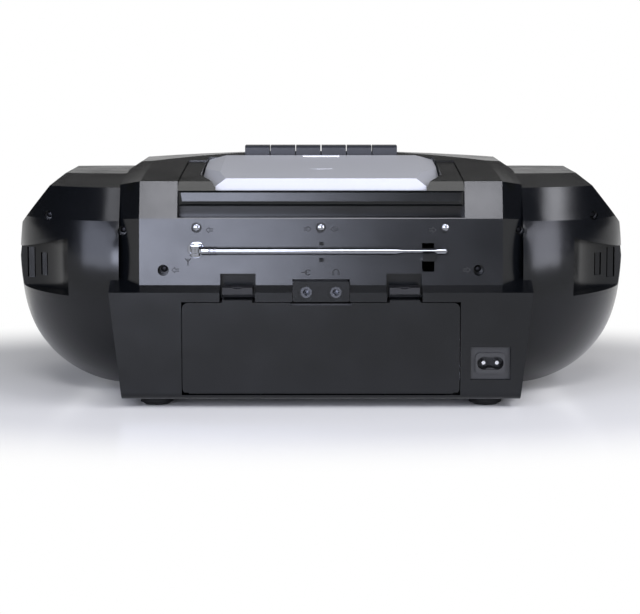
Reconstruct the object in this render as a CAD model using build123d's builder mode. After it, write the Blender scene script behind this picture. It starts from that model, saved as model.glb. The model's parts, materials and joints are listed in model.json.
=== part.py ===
from build123d import *

import os
from math import sqrt

# Cabinet, seen from its middle: x across, y to the back, z up from the floor
half_width = 205.0
cabinet_bottom = 6.0
wall = 2.5
back_y = 105.0
front_y = -100.0
parting_y = -22.0
hump_flat = 117.0
hump_half = 131.0
hump_step = 14.0
panel_lean = 0.09

# Creases that run along the back and over the top
low_crease_z = 121.0
high_crease_z = 144.5
high_crease_y = 92.0
top_front_y = -88.0
top_front_z = 155.0
front_brow_z = 138.0
crown_z = 155.3
crown_edge_x = 125.6
crown_edge_z = 150.8
crown_foot_x = 133.0
crown_foot_z = 145.8

# Rounded speaker ends on the left and right
pod_rear = 90.0
pod_tip_rear = 12.0
pod_tip_front = -52.0
pod_middle_z = 72.0
pod_power = 1.8
pod_front_power = 3.5
pod_crease_z = 118.5
pod_facet_run = 12.0
pod_facet_z = 139.5
pod_top_z = 144.0
pod_break_z = 144.3
pod_break_part = 0.54
pod_brow_z = 144.8
pod_brow_run = 18.0
pod_cheek_z = 128.0
pod_chamfer_x = 176.0
pod_shoulder = (200.5, 114.0)
pod_hip_z = 76.0

# Battery housing that stands out at the bottom of the back
housing_y = 118.0
housing_ledge_z = 75.0
housing_ledge_rise = 0.26
housing_foot_x = 128.0
housing_top_x = 136.8
housing_corner = 4.0

# Battery door, its latches and the tray for six C cells
door_half = 88.8
door_bottom = 9.4
door_top = 68.5
door_thick = 2.4
door_corner = 4.0
door_gap = 0.5
door_hinge = (116.8, 10.6)
latch_x = 53.5
latch_half = 9.6
latch_top = 78.2
latch_web_y = 104.8
latch_root_z = 71.1
pocket_half = 11.4
pocket_top = 85.8
pocket_y = 95.0
cell_length = 50.0
cell_width = 26.2
cells_in_row = 3
tray_wall = 1.6
tray_middle_z = 38.9

# Sockets on the back
jack_x = 9.5
jack_z = 75.1
jack_plug = 3.5
jack_bush = 7.2
jack_ring = 10.4
jack_depth = 15.0
panel_half = 18.2
panel_bottom = 69.0
panel_top = 82.0
inlet_x = -108.6
inlet_z = 29.4
inlet_half = 12.8
inlet_tall = 10.6
inlet_back_y = 96.0
inlet_depth = 14.0
pin_pitch = 8.6
pin_radius = 1.2
pin_tail = 1.0

# Folding handle and its recess
handle_half = 92.0
handle_inner = 80.0
handle_pivot = (-20.0, 144.0)
handle_eye = 6.5
handle_pin = 2.5
bar_front_y = 98.0
bar_back_y = 108.0
bar_bottom_z = 129.5
bar_top_z = 139.4
bar_lean = 0.8
bar_round = 3.2
handle_corner = 5.0
handle_lid_gap = 1.0
recess_half = 92.6
recess_floor_z = 136.0
recess_bottom_z = 121.5
recess_wall_y = 84.0

# Lid over the disc
lid_half = 79.0
lid_rear_half = 67.8
lid_waist_y = 52.0
lid_front_y = -47.5
lid_rear_y = 97.0
lid_rear_z = 136.4
lid_break_y = 88.0
lid_lift = 1.4
lid_gap = 0.7
lid_skin = 2.0
lid_facet = 12.0
lid_facet_drop = 3.2
lid_skirt = 5.5
lid_ridge_rear_x = 61.6
lid_hinge = (88.2, 137.4)
lid_lug_x = 51.0
lid_lug_half = 4.5
lid_lug_gap = 0.4
lid_pin = 1.5

# Disc drive
disc_y = 17.0
disc_radius = 60.0
well_radius = disc_radius + 3.0
turntable_z = 138.5
hub_radius = 15.0
cone_radius = 7.4
cone_rise = 2.1
chassis_z = 124.0
chassis_thick = 2.0
spindle_radius = 1.0
clamp_radius = 15.5
clamp_neck = 6.0
clamp_web_z = 144.0
motor_radius = 12.0
lens_y = -8.0
lens_travel = 33.0
rail_x = 16.0
rail_radius = 1.5
rail_z = 130.0

# Cassette keys along the front edge of the top
key_count = 6
key_pitch = 18.2
key_gap = 0.7
key_front_y = -80.0
key_back_y = -58.5
key_swing = 3.5
key_pivot = (-56.0, 143.0)
key_top_z = 160.1
key_cap_z = 152.0
key_rod = 1.5

# Cassette bay in the middle of the front
bay_half = 56.0
bay_bottom = 21.5
bay_top = 96.0
bay_y = -68.0
tape_door_thick = 4.0
tape_hinge = (-99.5, 24.0)
reel_x = 21.25
reel_z = 54.0
capstan_x = 26.0
capstan_z = 80.0
flywheel_radius = 19.0
pinch_z = 90.0
pinch_radius = 4.5

# Loudspeakers
speaker_x = 142.0
speaker_z = 76.0
bezel_radius = 61.5
bezel_y = -114.0
trim_y = -118.0
grille_radius = 52.0
grille_rows = 6
grille_pitch = 7.2
speaker_radius = 51.0
magnet_radius = 22.0

# Controls on the front
window_half = 34.0
window_bottom = 110.0
window_top = 130.0
knob_x = 58.0
knob_z = 120.0
knob_radius = 10.0
button_count = 4
button_pitch = 18.0
button_z = 102.5
button_half = 7.0
button_tall = 2.6
knob_shaft = 3.0

# Hollows with vents in the sides of the speaker ends
scoop_center = (222.0, 84.0)
scoop_radius = 57.0
scoop_inner_x = 166.0
scoop_inner_top = 106.7
scoop_inner_bottom = 69.0
scoop_outer_top = 97.0
scoop_outer_bottom = 74.0
vents = [(195.6, 2.9, 76.2, 96.4), (186.1, 2.5, 78.1, 93.2)]
vane_thick = 0.9
vane_gap = 1.0

# Telescopic antenna
clip_x = -69.0
antenna_x = 80.4
antenna_y = 112.0
antenna_z = 101.2
antenna_cup = 5.4
antenna_radii = (2.3, 1.95, 1.6, 1.25)
antenna_bores = (2.0, 1.65, 1.3, 0.0)
antenna_root = 72.0
antenna_end = -48.5
antenna_tip = -80.7
antenna_cap = 2.35

# Feet and screws
foot_stud = 3.0
case_well_depth = 12.0
board_z = 14.0
panel_front_y = 98.0
foot_x = 107.0
foot_rear_y = 95.0
foot_front_y = -78.0
foot_radius = 10.5
chrome_screw_x = 80.1
chrome_screw_z = 115.2
chrome_screw_radius = 2.4
chrome_hole_radius = 3.3
chrome_sink = 2.2
case_screw_radius = 2.2

# Fits
running_fit = 0.05
seat_fit = 0.02
moving_gap = 0.4
seat_gap = 0.2


def side_plane(x):
    """Plane across the object at x, with y to the right and z up."""
    return Plane.YZ.offset(x)


def back_plane(y):
    """Upright plane at y, with x to the right and z up; it extrudes towards the front."""
    return Plane.XZ.offset(-y)


def slab(x, y, z, mode=Mode.ADD):
    """Box between two limits on each axis."""
    with Locations(((x[0] + x[1]) / 2, (y[0] + y[1]) / 2, (z[0] + z[1]) / 2)):
        Box(x[1] - x[0], y[1] - y[0], z[1] - z[0], mode=mode)


def rod_x(y, z, start, end, radius, mode=Mode.ADD):
    """Round bar along x."""
    with Locations(((start + end) / 2, y, z)):
        Cylinder(radius, end - start, rotation=(0, 90, 0), mode=mode)


def rod_y(x, z, start, end, radius, mode=Mode.ADD):
    """Round bar along y."""
    with Locations((x, (start + end) / 2, z)):
        Cylinder(radius, end - start, rotation=(90, 0, 0), mode=mode)


def rod_z(x, y, start, end, radius, mode=Mode.ADD):
    """Round bar along z."""
    with Locations((x, y, (start + end) / 2)):
        Cylinder(radius, end - start, mode=mode)


def panel_y(z):
    """Depth of the back panel at a height; above the battery housing it leans forward."""
    return back_y - (z - housing_ledge_z) * panel_lean


def deck_z(y):
    """Height of the sloping top at a place along the depth."""
    slope = (top_front_z - high_crease_z) / (high_crease_y - top_front_y)
    return high_crease_z + (high_crease_y - y) * slope


def ledge_z(y):
    """Height of the sloping ledge over the battery housing."""
    return housing_ledge_z + (housing_y - y) * housing_ledge_rise


def pod_section(spread, inset):
    """Side profile of a speaker end; spread goes from 0 at the hump to 1 at the tip."""
    x = hump_half + spread * (half_width - inset - hump_half)
    rounding = sqrt(max(0.0, 1 - spread ** pod_power))
    front_rounding = sqrt(max(0.0, 1 - spread ** pod_front_power))
    rear = pod_tip_rear + (pod_rear - pod_tip_rear) * rounding - inset
    front = pod_tip_front + (front_y - pod_tip_front) * front_rounding + inset
    bottom = pod_middle_z - (pod_middle_z - cabinet_bottom) * rounding + inset
    crease = Vector(rear, pod_crease_z)
    foot = Vector(rear - 0.4 * (pod_crease_z - bottom), bottom)
    chord = foot - crease
    outward = Vector(-chord.Y, chord.X).normalized()
    brow_y = front + pod_brow_run
    break_y = brow_y + pod_break_part * (rear - pod_facet_run - brow_y)
    belly = (crease + foot) * 0.5 + outward * 0.2 * chord.length
    toe = (front + 0.3 * (pod_cheek_z - bottom), bottom)
    shin = (front, bottom + 0.3 * (pod_cheek_z - bottom))
    with BuildSketch(side_plane(x)) as section:
        with BuildLine():
            ThreePointArc(crease, belly, foot)
            Line(foot, toe)
            Line(toe, shin)
            Polyline(
                shin,
                (front, pod_cheek_z),
                (brow_y, pod_brow_z - inset),
                (break_y, pod_break_z - inset),
                (rear - pod_facet_run, pod_facet_z - inset),
                crease,
            )
        make_face()
    return section.sketch


def hump_section(x, inset, step, drop):
    """Side profile of the middle of the cabinet, drawn in by a step towards its sides."""
    back = back_y - step - inset
    with BuildSketch(side_plane(x)) as section:
        Polygon(
            (back, cabinet_bottom + inset),
            (back, housing_ledge_z),
            (panel_y(low_crease_z) - step - inset, low_crease_z - drop / 2),
            (high_crease_y - step - inset, high_crease_z - drop - inset),
            (top_front_y + inset, top_front_z - inset),
            (front_y + inset, front_brow_z),
            (front_y + inset, cabinet_bottom + inset),
            align=None,
        )
    return section.sketch


def cabinet_solid(inset):
    """Whole cabinet as one solid, drawn in by an inset on every side."""
    spreads = [0.0, 0.26, 0.5, 0.71, 0.87, 0.97, 1.0]
    chamfer_lean = (pod_shoulder[0] - pod_chamfer_x) / (pod_top_z - pod_shoulder[1])
    with BuildPart() as solid:
        for spread in spreads:
            add(pod_section(spread, inset))
        loft()
        with BuildSketch(back_plane(200)):
            Polygon(
                (pod_chamfer_x - chamfer_lean * 20 - inset, pod_top_z + 20),
                (pod_chamfer_x - inset, pod_top_z - inset * 0.4),
                (pod_shoulder[0] - inset, pod_shoulder[1]),
                (half_width - inset, pod_hip_z),
                (half_width + 20, pod_hip_z),
                (half_width + 20, pod_top_z + 20),
                align=None,
            )
        extrude(amount=400, mode=Mode.SUBTRACT)
        mirror(about=Plane.YZ)
        add(hump_section(-hump_half + inset, inset, hump_step, 3.0))
        add(hump_section(-hump_flat + inset, inset, 0, 0))
        add(hump_section(hump_flat - inset, inset, 0, 0))
        add(hump_section(hump_half - inset, inset, hump_step, 3.0))
        loft(ruled=True)
        if inset > 0:
            slab((-hump_half, hump_half), (front_y + 20, pod_rear - 15), (30, pod_facet_z - 10))
        with BuildSketch(back_plane(200)):
            with BuildLine():
                ThreePointArc(
                    (-crown_edge_x, crown_edge_z - inset),
                    (0, crown_z - inset),
                    (crown_edge_x, crown_edge_z - inset),
                )
                Polyline(
                    (crown_edge_x, crown_edge_z - inset),
                    (crown_foot_x - inset, crown_foot_z),
                    (crown_foot_x + 10, crown_foot_z + 40),
                    (-crown_foot_x - 10, crown_foot_z + 40),
                    (-crown_foot_x + inset, crown_foot_z),
                    (-crown_edge_x, crown_edge_z - inset),
                )
            make_face()
        extrude(amount=400, mode=Mode.SUBTRACT)
    return solid.part


def housing_solid(inset):
    """Battery housing that stands out behind the back panel, with its sloping ledge."""
    lean = (housing_top_x - housing_foot_x) / (84.0 - cabinet_bottom)
    top = 92.0
    top_half = housing_foot_x + lean * (top - cabinet_bottom) - inset
    with BuildPart() as solid:
        with BuildSketch(back_plane(housing_y - inset)):
            Polygon(
                (-housing_foot_x + inset, cabinet_bottom + inset),
                (housing_foot_x - inset, cabinet_bottom + inset),
                (top_half, top),
                (-top_half, top),
                align=None,
            )
        extrude(amount=housing_y - 5)
        back_edges = solid.faces().sort_by(Axis.Y)[-1].edges()
        fillet(back_edges.filter_by(Axis.X).sort_by(Axis.Z)[:1], housing_corner - inset)
        with BuildSketch(side_plane(0)):
            Polygon(
                (housing_y + 5, ledge_z(housing_y + 5) - inset),
                (0, ledge_z(0) - inset),
                (0, 130),
                (housing_y + 5, 130),
                align=None,
            )
        extrude(amount=half_width, both=True, mode=Mode.SUBTRACT)
        slab((-half_width, half_width), (-1, 70), (pod_facet_z - 60, 130), Mode.SUBTRACT)
    return solid.part


def scoop_solid(grow):
    """Hollow in the side of a speaker end, an upright round cutter with sloping ends."""
    with BuildPart() as solid:
        with BuildSketch(Plane.XY.offset(60)):
            with Locations(scoop_center):
                Circle(scoop_radius + grow)
        extrude(amount=60)
        with BuildSketch(back_plane(200)):
            Polygon(
                (scoop_inner_x - 40, 60),
                (scoop_inner_x - 40, scoop_inner_bottom - grow),
                (scoop_inner_x, scoop_inner_bottom - grow),
                (half_width + 60, scoop_outer_bottom - grow),
                (half_width + 60, 60),
                align=None,
            )
            Polygon(
                (scoop_inner_x - 40, 121),
                (half_width + 60, 121),
                (half_width + 60, scoop_outer_top - 20 + grow),
                (half_width, scoop_outer_top + grow),
                (scoop_inner_x, scoop_inner_top + grow),
                (scoop_inner_x - 40, scoop_inner_top + 12 + grow),
                align=None,
            )
        extrude(amount=400, mode=Mode.SUBTRACT)
        mirror(about=Plane.YZ)
    return solid.part


def ring_groove(x, z, y, radius, depth):
    """Shallow round recess in an upright face at y."""
    rod_y(x, z, y - depth, y + 1, radius, Mode.SUBTRACT)


os.makedirs("parts", exist_ok=True)
outer = cabinet_solid(0.0)
inner = cabinet_solid(wall)
housing = housing_solid(0.0)
housing_room = housing_solid(wall)
scoop = scoop_solid(0.0)
scoop_back = scoop_solid(wall)

# Places of the screws that hold the two cabinet halves: x, z, surface y, hole radius
bevel_screw_x = 128.9
bevel_screw_z = 112.3
bevel_part = (bevel_screw_x - hump_flat) / (hump_half - hump_flat)
bevel_y = panel_y(bevel_screw_z) - hump_step * bevel_part
panel_screw = (101.6, 88.0, panel_y(88.0), 3.6)
bevel_screw = (bevel_screw_x, bevel_screw_z, bevel_y, 2.9)
pod_screw = (179.8, 120.4, 66.0, 2.9)
case_screw_places = [
    (side * x, z, y, radius)
    for side in (-1, 1)
    for x, z, y, radius in (panel_screw, bevel_screw, pod_screw)
]
chrome_screw_places = [-chrome_screw_x, 0.0, chrome_screw_x]
chrome_surface_y = panel_y(chrome_screw_z)
foot_places = [
    (side * foot_x, y)
    for side in (-1, 1)
    for y in (foot_rear_y, foot_front_y)
]
board_posts = [(-50.0, 5.0), (-50.0, 68.0), (72.0, 5.0), (72.0, 68.0)]

prong_root_y = panel_y(antenna_z) - 1.5

# Room that the top cover takes out of both cabinet halves
deck_half = 126.0
deck_front_y = top_front_y + 1.5
deck_back_y = high_crease_y - 2.6

# Walls and bosses behind the back panel, trimmed to the outside of the cabinet
with BuildPart() as back_details:
    slab(
        (-recess_half - 2, recess_half + 2),
        (recess_wall_y - 2, back_y),
        (recess_bottom_z - 2, high_crease_z + 3),
    )
    for side in (-1, 1):
        slab(
            (side * latch_x - pocket_half - 1.6, side * latch_x + pocket_half + 1.6),
            (pocket_y - 1.6, housing_y),
            (door_top + door_gap, pocket_top + 1.6),
        )
    for x in chrome_screw_places:
        rod_y(x, chrome_screw_z, chrome_surface_y - 11, back_y, 5.0)
    for x, z, y, radius in case_screw_places:
        rod_y(x, z, y - case_well_depth - 2, y + 6, radius + 1.8)
    rod_y(antenna_x, antenna_z, 94, back_y, antenna_cup + 1.8)
    slab(
        (inlet_x - inlet_half - 1.6, inlet_x + inlet_half + 1.6),
        (100, housing_y - 1),
        (inlet_z - inlet_tall - 1.6, inlet_z + inlet_tall + 1.6),
    )
    for x, y in board_posts:
        rod_z(x, y, cabinet_bottom + 1, board_z, 3.0)
with BuildPart() as back_outside:
    add(outer)
    add(housing)
    slab((-240, 240), (front_y - 20, parting_y), (-20, 200), Mode.SUBTRACT)

with BuildPart() as rear_cabinet:
    add(back_outside.part)
    add(inner, mode=Mode.SUBTRACT)
    add(housing_room, mode=Mode.SUBTRACT)
    with BuildPart(mode=Mode.PRIVATE) as scoop_wall:
        add(scoop_back)
        add(outer, mode=Mode.INTERSECT)
    add(scoop_wall.part)
    add(back_details.part & back_outside.part)
    add(scoop, mode=Mode.SUBTRACT)
    slab((-deck_half, deck_half), (-60, deck_back_y), (high_crease_z - 6.5, 170), Mode.SUBTRACT)
    slab(
        (-recess_half, recess_half), (recess_wall_y, 120), (recess_bottom_z, 170), Mode.SUBTRACT
    )
    slab(
        (-recess_half - 3, recess_half + 3),
        (recess_wall_y - 3, deck_back_y),
        (recess_floor_z - 2, 170),
        Mode.SUBTRACT,
    )
    slab(
        (-door_half - door_gap, door_half + door_gap),
        (housing_y - wall - 1, 120),
        (door_bottom - door_gap, door_top + door_gap),
        Mode.SUBTRACT,
    )
    for side in (-1, 1):
        slab(
            (side * latch_x - pocket_half, side * latch_x + pocket_half),
            (pocket_y, 120),
            (door_top - 1, pocket_top),
            Mode.SUBTRACT,
        )
    slab(
        (-panel_half - seat_gap, panel_half + seat_gap),
        (panel_front_y - 4, 120),
        (panel_bottom - seat_gap, panel_top + seat_gap),
        Mode.SUBTRACT,
    )
    slab(
        (inlet_x - inlet_half, inlet_x + inlet_half),
        (90, 120),
        (inlet_z - inlet_tall, inlet_z + inlet_tall),
        Mode.SUBTRACT,
    )
    for x in chrome_screw_places:
        ring_groove(x, chrome_screw_z, chrome_surface_y, chrome_hole_radius, chrome_sink)
        rod_y(x, chrome_screw_z, chrome_surface_y - 9, back_y, 1.3, Mode.SUBTRACT)
    for x, z, y, radius in case_screw_places:
        rod_y(x, z, y - case_well_depth, y + 30, radius, Mode.SUBTRACT)
        rod_y(x, z, y - case_well_depth - 5, y, 1.5, Mode.SUBTRACT)
    ring_groove(antenna_x, antenna_z, back_y, antenna_cup, 7.0)
    for x, y in foot_places:
        rod_z(x, y, 0, cabinet_bottom + 1.2, foot_stud + seat_gap, Mode.SUBTRACT)
    for vent_x, half, low, high in vents:
        across = scoop_center[0] - vent_x
        surface_y = scoop_center[1] - sqrt(scoop_radius ** 2 - across ** 2)
        vane_y = surface_y - 0.5 * wall
        for side in (-1, 1):
            x = side * vent_x
            slab((x - half, x + half), (surface_y - 12, 70), (low, high), Mode.SUBTRACT)
            slab(
                (x - half + vane_gap, x + half - vane_gap),
                (vane_y - vane_thick, vane_y),
                (low - 0.5, high + 0.5),
            )
    slab((clip_x - 4, clip_x + 4), (95, 120), (87, 94.8), Mode.SUBTRACT)
    slab((clip_x - 4, clip_x + 4), (95, 120), (102.0, 105.4), Mode.SUBTRACT)
    slab((clip_x - 4, clip_x + 4), (prong_root_y, 116.5), (95.0, 96.6))
    slab((clip_x - 4, clip_x + 4), (115.0, 116.5), (95.0, 99.5))
    slab((-1.2, 1.2), (prong_root_y, antenna_y - 3), (104.6, 106.2))
    slab((-1.2, 1.2), (prong_root_y, antenna_y), (94.2, 95.8))
rear_cabinet.part.label = "rear_cabinet"
export_step(rear_cabinet.part, "parts/rear_cabinet.step")

# Front half of the cabinet with round speaker bezels and the cassette bay
with BuildPart() as front_cabinet:
    add(outer)
    slab((-240, 240), (parting_y, 200), (-20, 200), Mode.SUBTRACT)
    for side in (-1, 1):
        rod_y(side * speaker_x, speaker_z, bezel_y, -62, bezel_radius)
    add(inner, mode=Mode.SUBTRACT)
    for side in (-1, 1):
        rod_y(
            side * speaker_x, speaker_z, bezel_y + wall, -60, bezel_radius - wall, Mode.SUBTRACT
        )
        rod_y(side * speaker_x, speaker_z, bezel_y - 1, -60, grille_radius, Mode.SUBTRACT)
    slab(
        (-bay_half - 1.8, bay_half + 1.8),
        (front_y + 1, bay_y),
        (bay_bottom - 1.8, bay_top + 1.8),
    )
    slab((-bay_half, bay_half), (front_y - 5, bay_y + 1), (bay_bottom, bay_top), Mode.SUBTRACT)
    for side in (-1, 1):
        rod_x(
            *tape_hinge, *sorted((side * (bay_half - 1), side * (bay_half + 1.8))), 1.25, Mode.SUBTRACT
        )
    slab(
        (-window_half, window_half), (front_y - 5, -90), (window_bottom, window_top), Mode.SUBTRACT
    )
    for side in (-1, 1):
        rod_y(side * knob_x, knob_z, front_y - 5, -90, knob_shaft + moving_gap, Mode.SUBTRACT)
    for index in range(button_count):
        x = (index - (button_count - 1) / 2) * button_pitch
        slab(
            (x - button_half - moving_gap, x + button_half + moving_gap),
            (front_y - 5, -90),
            (button_z - button_tall - moving_gap, button_z + button_tall + moving_gap),
            Mode.SUBTRACT,
        )
    slab(
        (-deck_half, deck_half), (deck_front_y, parting_y + 5), (high_crease_z - 6.5, 170),
        Mode.SUBTRACT,
    )
    for side in (-1, 1):
        rod_z(
            side * foot_x, foot_front_y, 0, cabinet_bottom + 4, foot_stud + seat_gap, Mode.SUBTRACT
        )
front_cabinet.part.label = "front_cabinet"
export_step(front_cabinet.part, "parts/front_cabinet.step")

# Outline of the lid from above; the recess in the top repeats it with a gap
lid_outline = [
    (-lid_half, lid_front_y),
    (lid_half, lid_front_y),
    (lid_half, lid_waist_y),
    (lid_rear_half, lid_rear_y),
    (-lid_rear_half, lid_rear_y),
    (-lid_half, lid_waist_y),
]

arm_recess_y = handle_pivot[0] - handle_eye - 1.2

# Top cover with the disc well, the handle recess and the key slot
key_field = key_count * key_pitch / 2 + moving_gap
with BuildPart() as top_cover:
    slab((-deck_half, deck_half), (deck_front_y, deck_back_y), (high_crease_z - 6.5, 170))
    add(outer, mode=Mode.INTERSECT)
    add(inner, mode=Mode.SUBTRACT)
    slab(
        (-lid_half - lid_gap - 2, lid_half + lid_gap + 2),
        (lid_front_y - lid_gap - 2, recess_wall_y),
        (recess_floor_z - 2, 170),
    )
    slab(
        (-recess_half - 2, recess_half + 2),
        (arm_recess_y - 2, recess_wall_y),
        (recess_floor_z - 2, 170),
    )
    for side in (-1, 1):
        slab(
            (side * (recess_half + 1) - 1, side * (recess_half + 1) + 1),
            (recess_wall_y - 1, deck_back_y),
            (recess_floor_z - 2, high_crease_z - 1),
        )
    add(outer, mode=Mode.INTERSECT)
    with BuildSketch(Plane.XY.offset(recess_floor_z)):
        Polygon(*lid_outline, align=None)
        offset(amount=lid_gap, kind=Kind.INTERSECTION)
    extrude(amount=40, mode=Mode.SUBTRACT)
    for side in (-1, 1):
        slab(
            sorted((side * (lid_rear_half - 1), side * recess_half)),
            (arm_recess_y, deck_back_y + 1),
            (recess_floor_z, 170),
            Mode.SUBTRACT,
        )
    with BuildSketch(Plane.XY.offset(recess_floor_z)):
        with Locations((0, disc_y)):
            Circle(well_radius + 2)
            Circle(well_radius, mode=Mode.SUBTRACT)
    extrude(amount=3)
    rod_z(0, disc_y, recess_floor_z - 5, recess_floor_z + 5, hub_radius + 1.5, Mode.SUBTRACT)
    slab(
        (-9, 9),
        (lens_y - lens_travel - 7.6, disc_y - hub_radius + 2),
        (recess_floor_z - 5, recess_floor_z + 0.5),
        Mode.SUBTRACT,
    )
    slab(
        (-key_field, key_field), (key_front_y - key_swing, key_back_y + 4), (high_crease_z - 10, 170),
        Mode.SUBTRACT,
    )
    for side in (-1, 1):
        for edge in (-1, 1):
            x = side * (lid_lug_x + edge * (lid_lug_half + lid_lug_gap + 2.5))
            slab((x - 2.5, x + 2.5), (recess_wall_y - 1, lid_hinge[0]), (134.5, 141.2))
            rod_x(*lid_hinge, x - 2.5, x + 2.5, 3.2)
        rod_x(
            *lid_hinge,
            side * lid_lug_x - lid_lug_half - 4, side * lid_lug_x + lid_lug_half + 4, lid_pin,
        )
        rod_x(
            *handle_pivot, *sorted((side * recess_half, side * (recess_half + 5))), 4.5
        )
        rod_x(
            *handle_pivot, *sorted((side * (recess_half - 1), side * (recess_half + 3.5))),
            handle_pin + seat_fit, Mode.SUBTRACT,
        )
top_cover.part.label = "top_cover"
export_step(top_cover.part, "parts/top_cover.step")

# Disc lid, a faceted shell that opens about its rear edge
def facet_plane(points, inset):
    """Plane through three points, moved inwards; its normal points up and out."""
    first, second, third = [Vector(*point) for point in points]
    normal = (second - first).cross(third - first).normalized()
    if normal.Z < 0:
        normal = normal * -1
    return Plane(origin=first - normal * inset, x_dir=second - first, z_dir=normal)


def lid_solid(inset):
    """Lid as a faceted block, drawn in by an inset on its top and sides."""
    drop = 30 if inset else 0
    front = lid_front_y + inset
    top_front = deck_z(front) + lid_lift - inset
    top_break = deck_z(lid_break_y) + lid_lift
    ridge_x = lid_half - lid_facet
    rim_z = deck_z(lid_waist_y) + lid_lift
    with BuildPart() as solid:
        with BuildSketch(Plane.XY.offset(lid_rear_z - 15)):
            Polygon(*lid_outline, align=None)
            offset(amount=-inset, kind=Kind.INTERSECTION)
        extrude(amount=60)
        with BuildSketch(side_plane(0)):
            Polygon(
                (front, deck_z(front) - lid_skirt - drop),
                (front, top_front),
                (lid_break_y - inset * 0.6, top_break - inset),
                (lid_rear_y - inset * 1.3, lid_rear_z),
                (lid_rear_y - inset * 1.3, lid_rear_z - 1 - drop),
                (lid_break_y - 8, deck_z(lid_break_y) - lid_skirt - drop),
                align=None,
            )
        extrude(amount=lid_half + 5, both=True, mode=Mode.INTERSECT)
        slope_run = lid_waist_y - lid_front_y
        slope_rise = deck_z(lid_front_y) - deck_z(lid_waist_y)
        side_facet = [
            (ridge_x, lid_waist_y, rim_z),
            (ridge_x, lid_waist_y - slope_run, rim_z + slope_rise),
            (lid_half, lid_waist_y, rim_z - lid_facet_drop),
        ]
        corner_facet = [
            (ridge_x, lid_waist_y, rim_z),
            (lid_ridge_rear_x, lid_break_y, top_break),
            (lid_rear_half + 1.4, lid_rear_y - 3.5, lid_rear_z + 4.0),
        ]
        for points in (side_facet, corner_facet):
            with BuildSketch(facet_plane(points, inset)):
                Rectangle(400, 400)
            extrude(amount=40, mode=Mode.SUBTRACT)
            with BuildSketch(facet_plane([(-x, y, z) for x, y, z in points], inset)):
                Rectangle(400, 400)
            extrude(amount=40, mode=Mode.SUBTRACT)
    return solid.part


lid_under_z = deck_z(disc_y) + lid_lift - lid_skin
with BuildPart() as cd_lid:
    add(lid_solid(0.0))
    add(lid_solid(lid_skin), mode=Mode.SUBTRACT)
    for side in (-1, 1):
        x = side * lid_lug_x
        slab(
            (x - lid_lug_half, x + lid_lug_half),
            (lid_hinge[0] - 3.2, lid_hinge[0] + 1.2),
            (lid_hinge[1], deck_z(lid_break_y) - 0.3),
        )
        rod_x(*lid_hinge, x - lid_lug_half, x + lid_lug_half, 3.2)
        rod_x(
            *lid_hinge, x - lid_lug_half - 1, x + lid_lug_half + 1, lid_pin + running_fit,
            Mode.SUBTRACT,
        )
    rod_z(0, disc_y, clamp_web_z, lid_under_z + 1, clamp_radius + 3.5)
    rod_z(0, disc_y, clamp_web_z + 1.6, lid_under_z + 0.2, clamp_radius + 1.5, Mode.SUBTRACT)
    rod_z(0, disc_y, clamp_web_z - 1, clamp_web_z + 2, clamp_neck + moving_gap, Mode.SUBTRACT)
cd_lid.part.label = "cd_lid"
export_step(cd_lid.part, "parts/cd_lid.step")

# Puck in the lid that holds the disc down
with BuildPart() as disc_clamp:
    rod_z(0, disc_y, clamp_web_z - 3.0, clamp_web_z - moving_gap, clamp_radius)
    rod_z(0, disc_y, clamp_web_z - moving_gap - 0.1, clamp_web_z + 2.2, clamp_neck)
    rod_z(0, disc_y, clamp_web_z + 2.0, clamp_web_z + 3.4, clamp_neck + 4)
disc_clamp.part.label = "disc_clamp"
export_step(disc_clamp.part, "parts/disc_clamp.step")

# Turntable with the cone that centres the disc
with BuildPart() as turntable:
    rod_z(0, disc_y, turntable_z - 2, turntable_z, hub_radius)
    rod_z(0, disc_y, turntable_z, turntable_z + cone_rise, cone_radius)
    chamfer(turntable.edges().sort_by(Axis.Z)[-1], 0.9)
    rod_z(0, disc_y, chassis_z - 6, turntable_z - 1, spindle_radius)
turntable.part.label = "turntable"
export_step(turntable.part, "parts/turntable.step")

# Motor under the turntable
with BuildPart() as disc_motor:
    rod_z(0, disc_y, chassis_z - 14, chassis_z, motor_radius)
    rod_z(0, disc_y, chassis_z, chassis_z + 3.2, 3.5)
    rod_z(0, disc_y, chassis_z - 10, chassis_z + 5, spindle_radius + running_fit, Mode.SUBTRACT)
disc_motor.part.label = "disc_motor"
export_step(disc_motor.part, "parts/disc_motor.step")

# Chassis of the disc drive with the two guide rails of the laser pickup
rail_ends = (lens_y - lens_travel - 13, lens_y + 12)
with BuildPart() as cd_chassis:
    slab((-34, 34), (rail_ends[0] - 1, disc_y + 19), (chassis_z, chassis_z + chassis_thick))
    fillet(cd_chassis.edges().filter_by(Axis.Z), 4)
    rod_z(0, disc_y, chassis_z - 1, chassis_z + 5, 3.5 + seat_gap, Mode.SUBTRACT)
    slab((-9, 9), (rail_ends[0] + 6, lens_y + 8), (chassis_z - 1, chassis_z + 5), Mode.SUBTRACT)
    for x in (-rail_x, rail_x):
        for y in rail_ends:
            slab((x - 3, x + 3), (y - 1, y + 3), (chassis_z + 1, rail_z + 2.5))
        rod_y(x, rail_z, rail_ends[0], rail_ends[1] + 2, rail_radius)
    for x in (-29, 29):
        for y in (rail_ends[0] + 5, disc_y + 14):
            rod_z(x, y, chassis_z + 1, recess_floor_z - 2, 3)
cd_chassis.part.label = "cd_chassis"
export_step(cd_chassis.part, "parts/cd_chassis.step")

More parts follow.
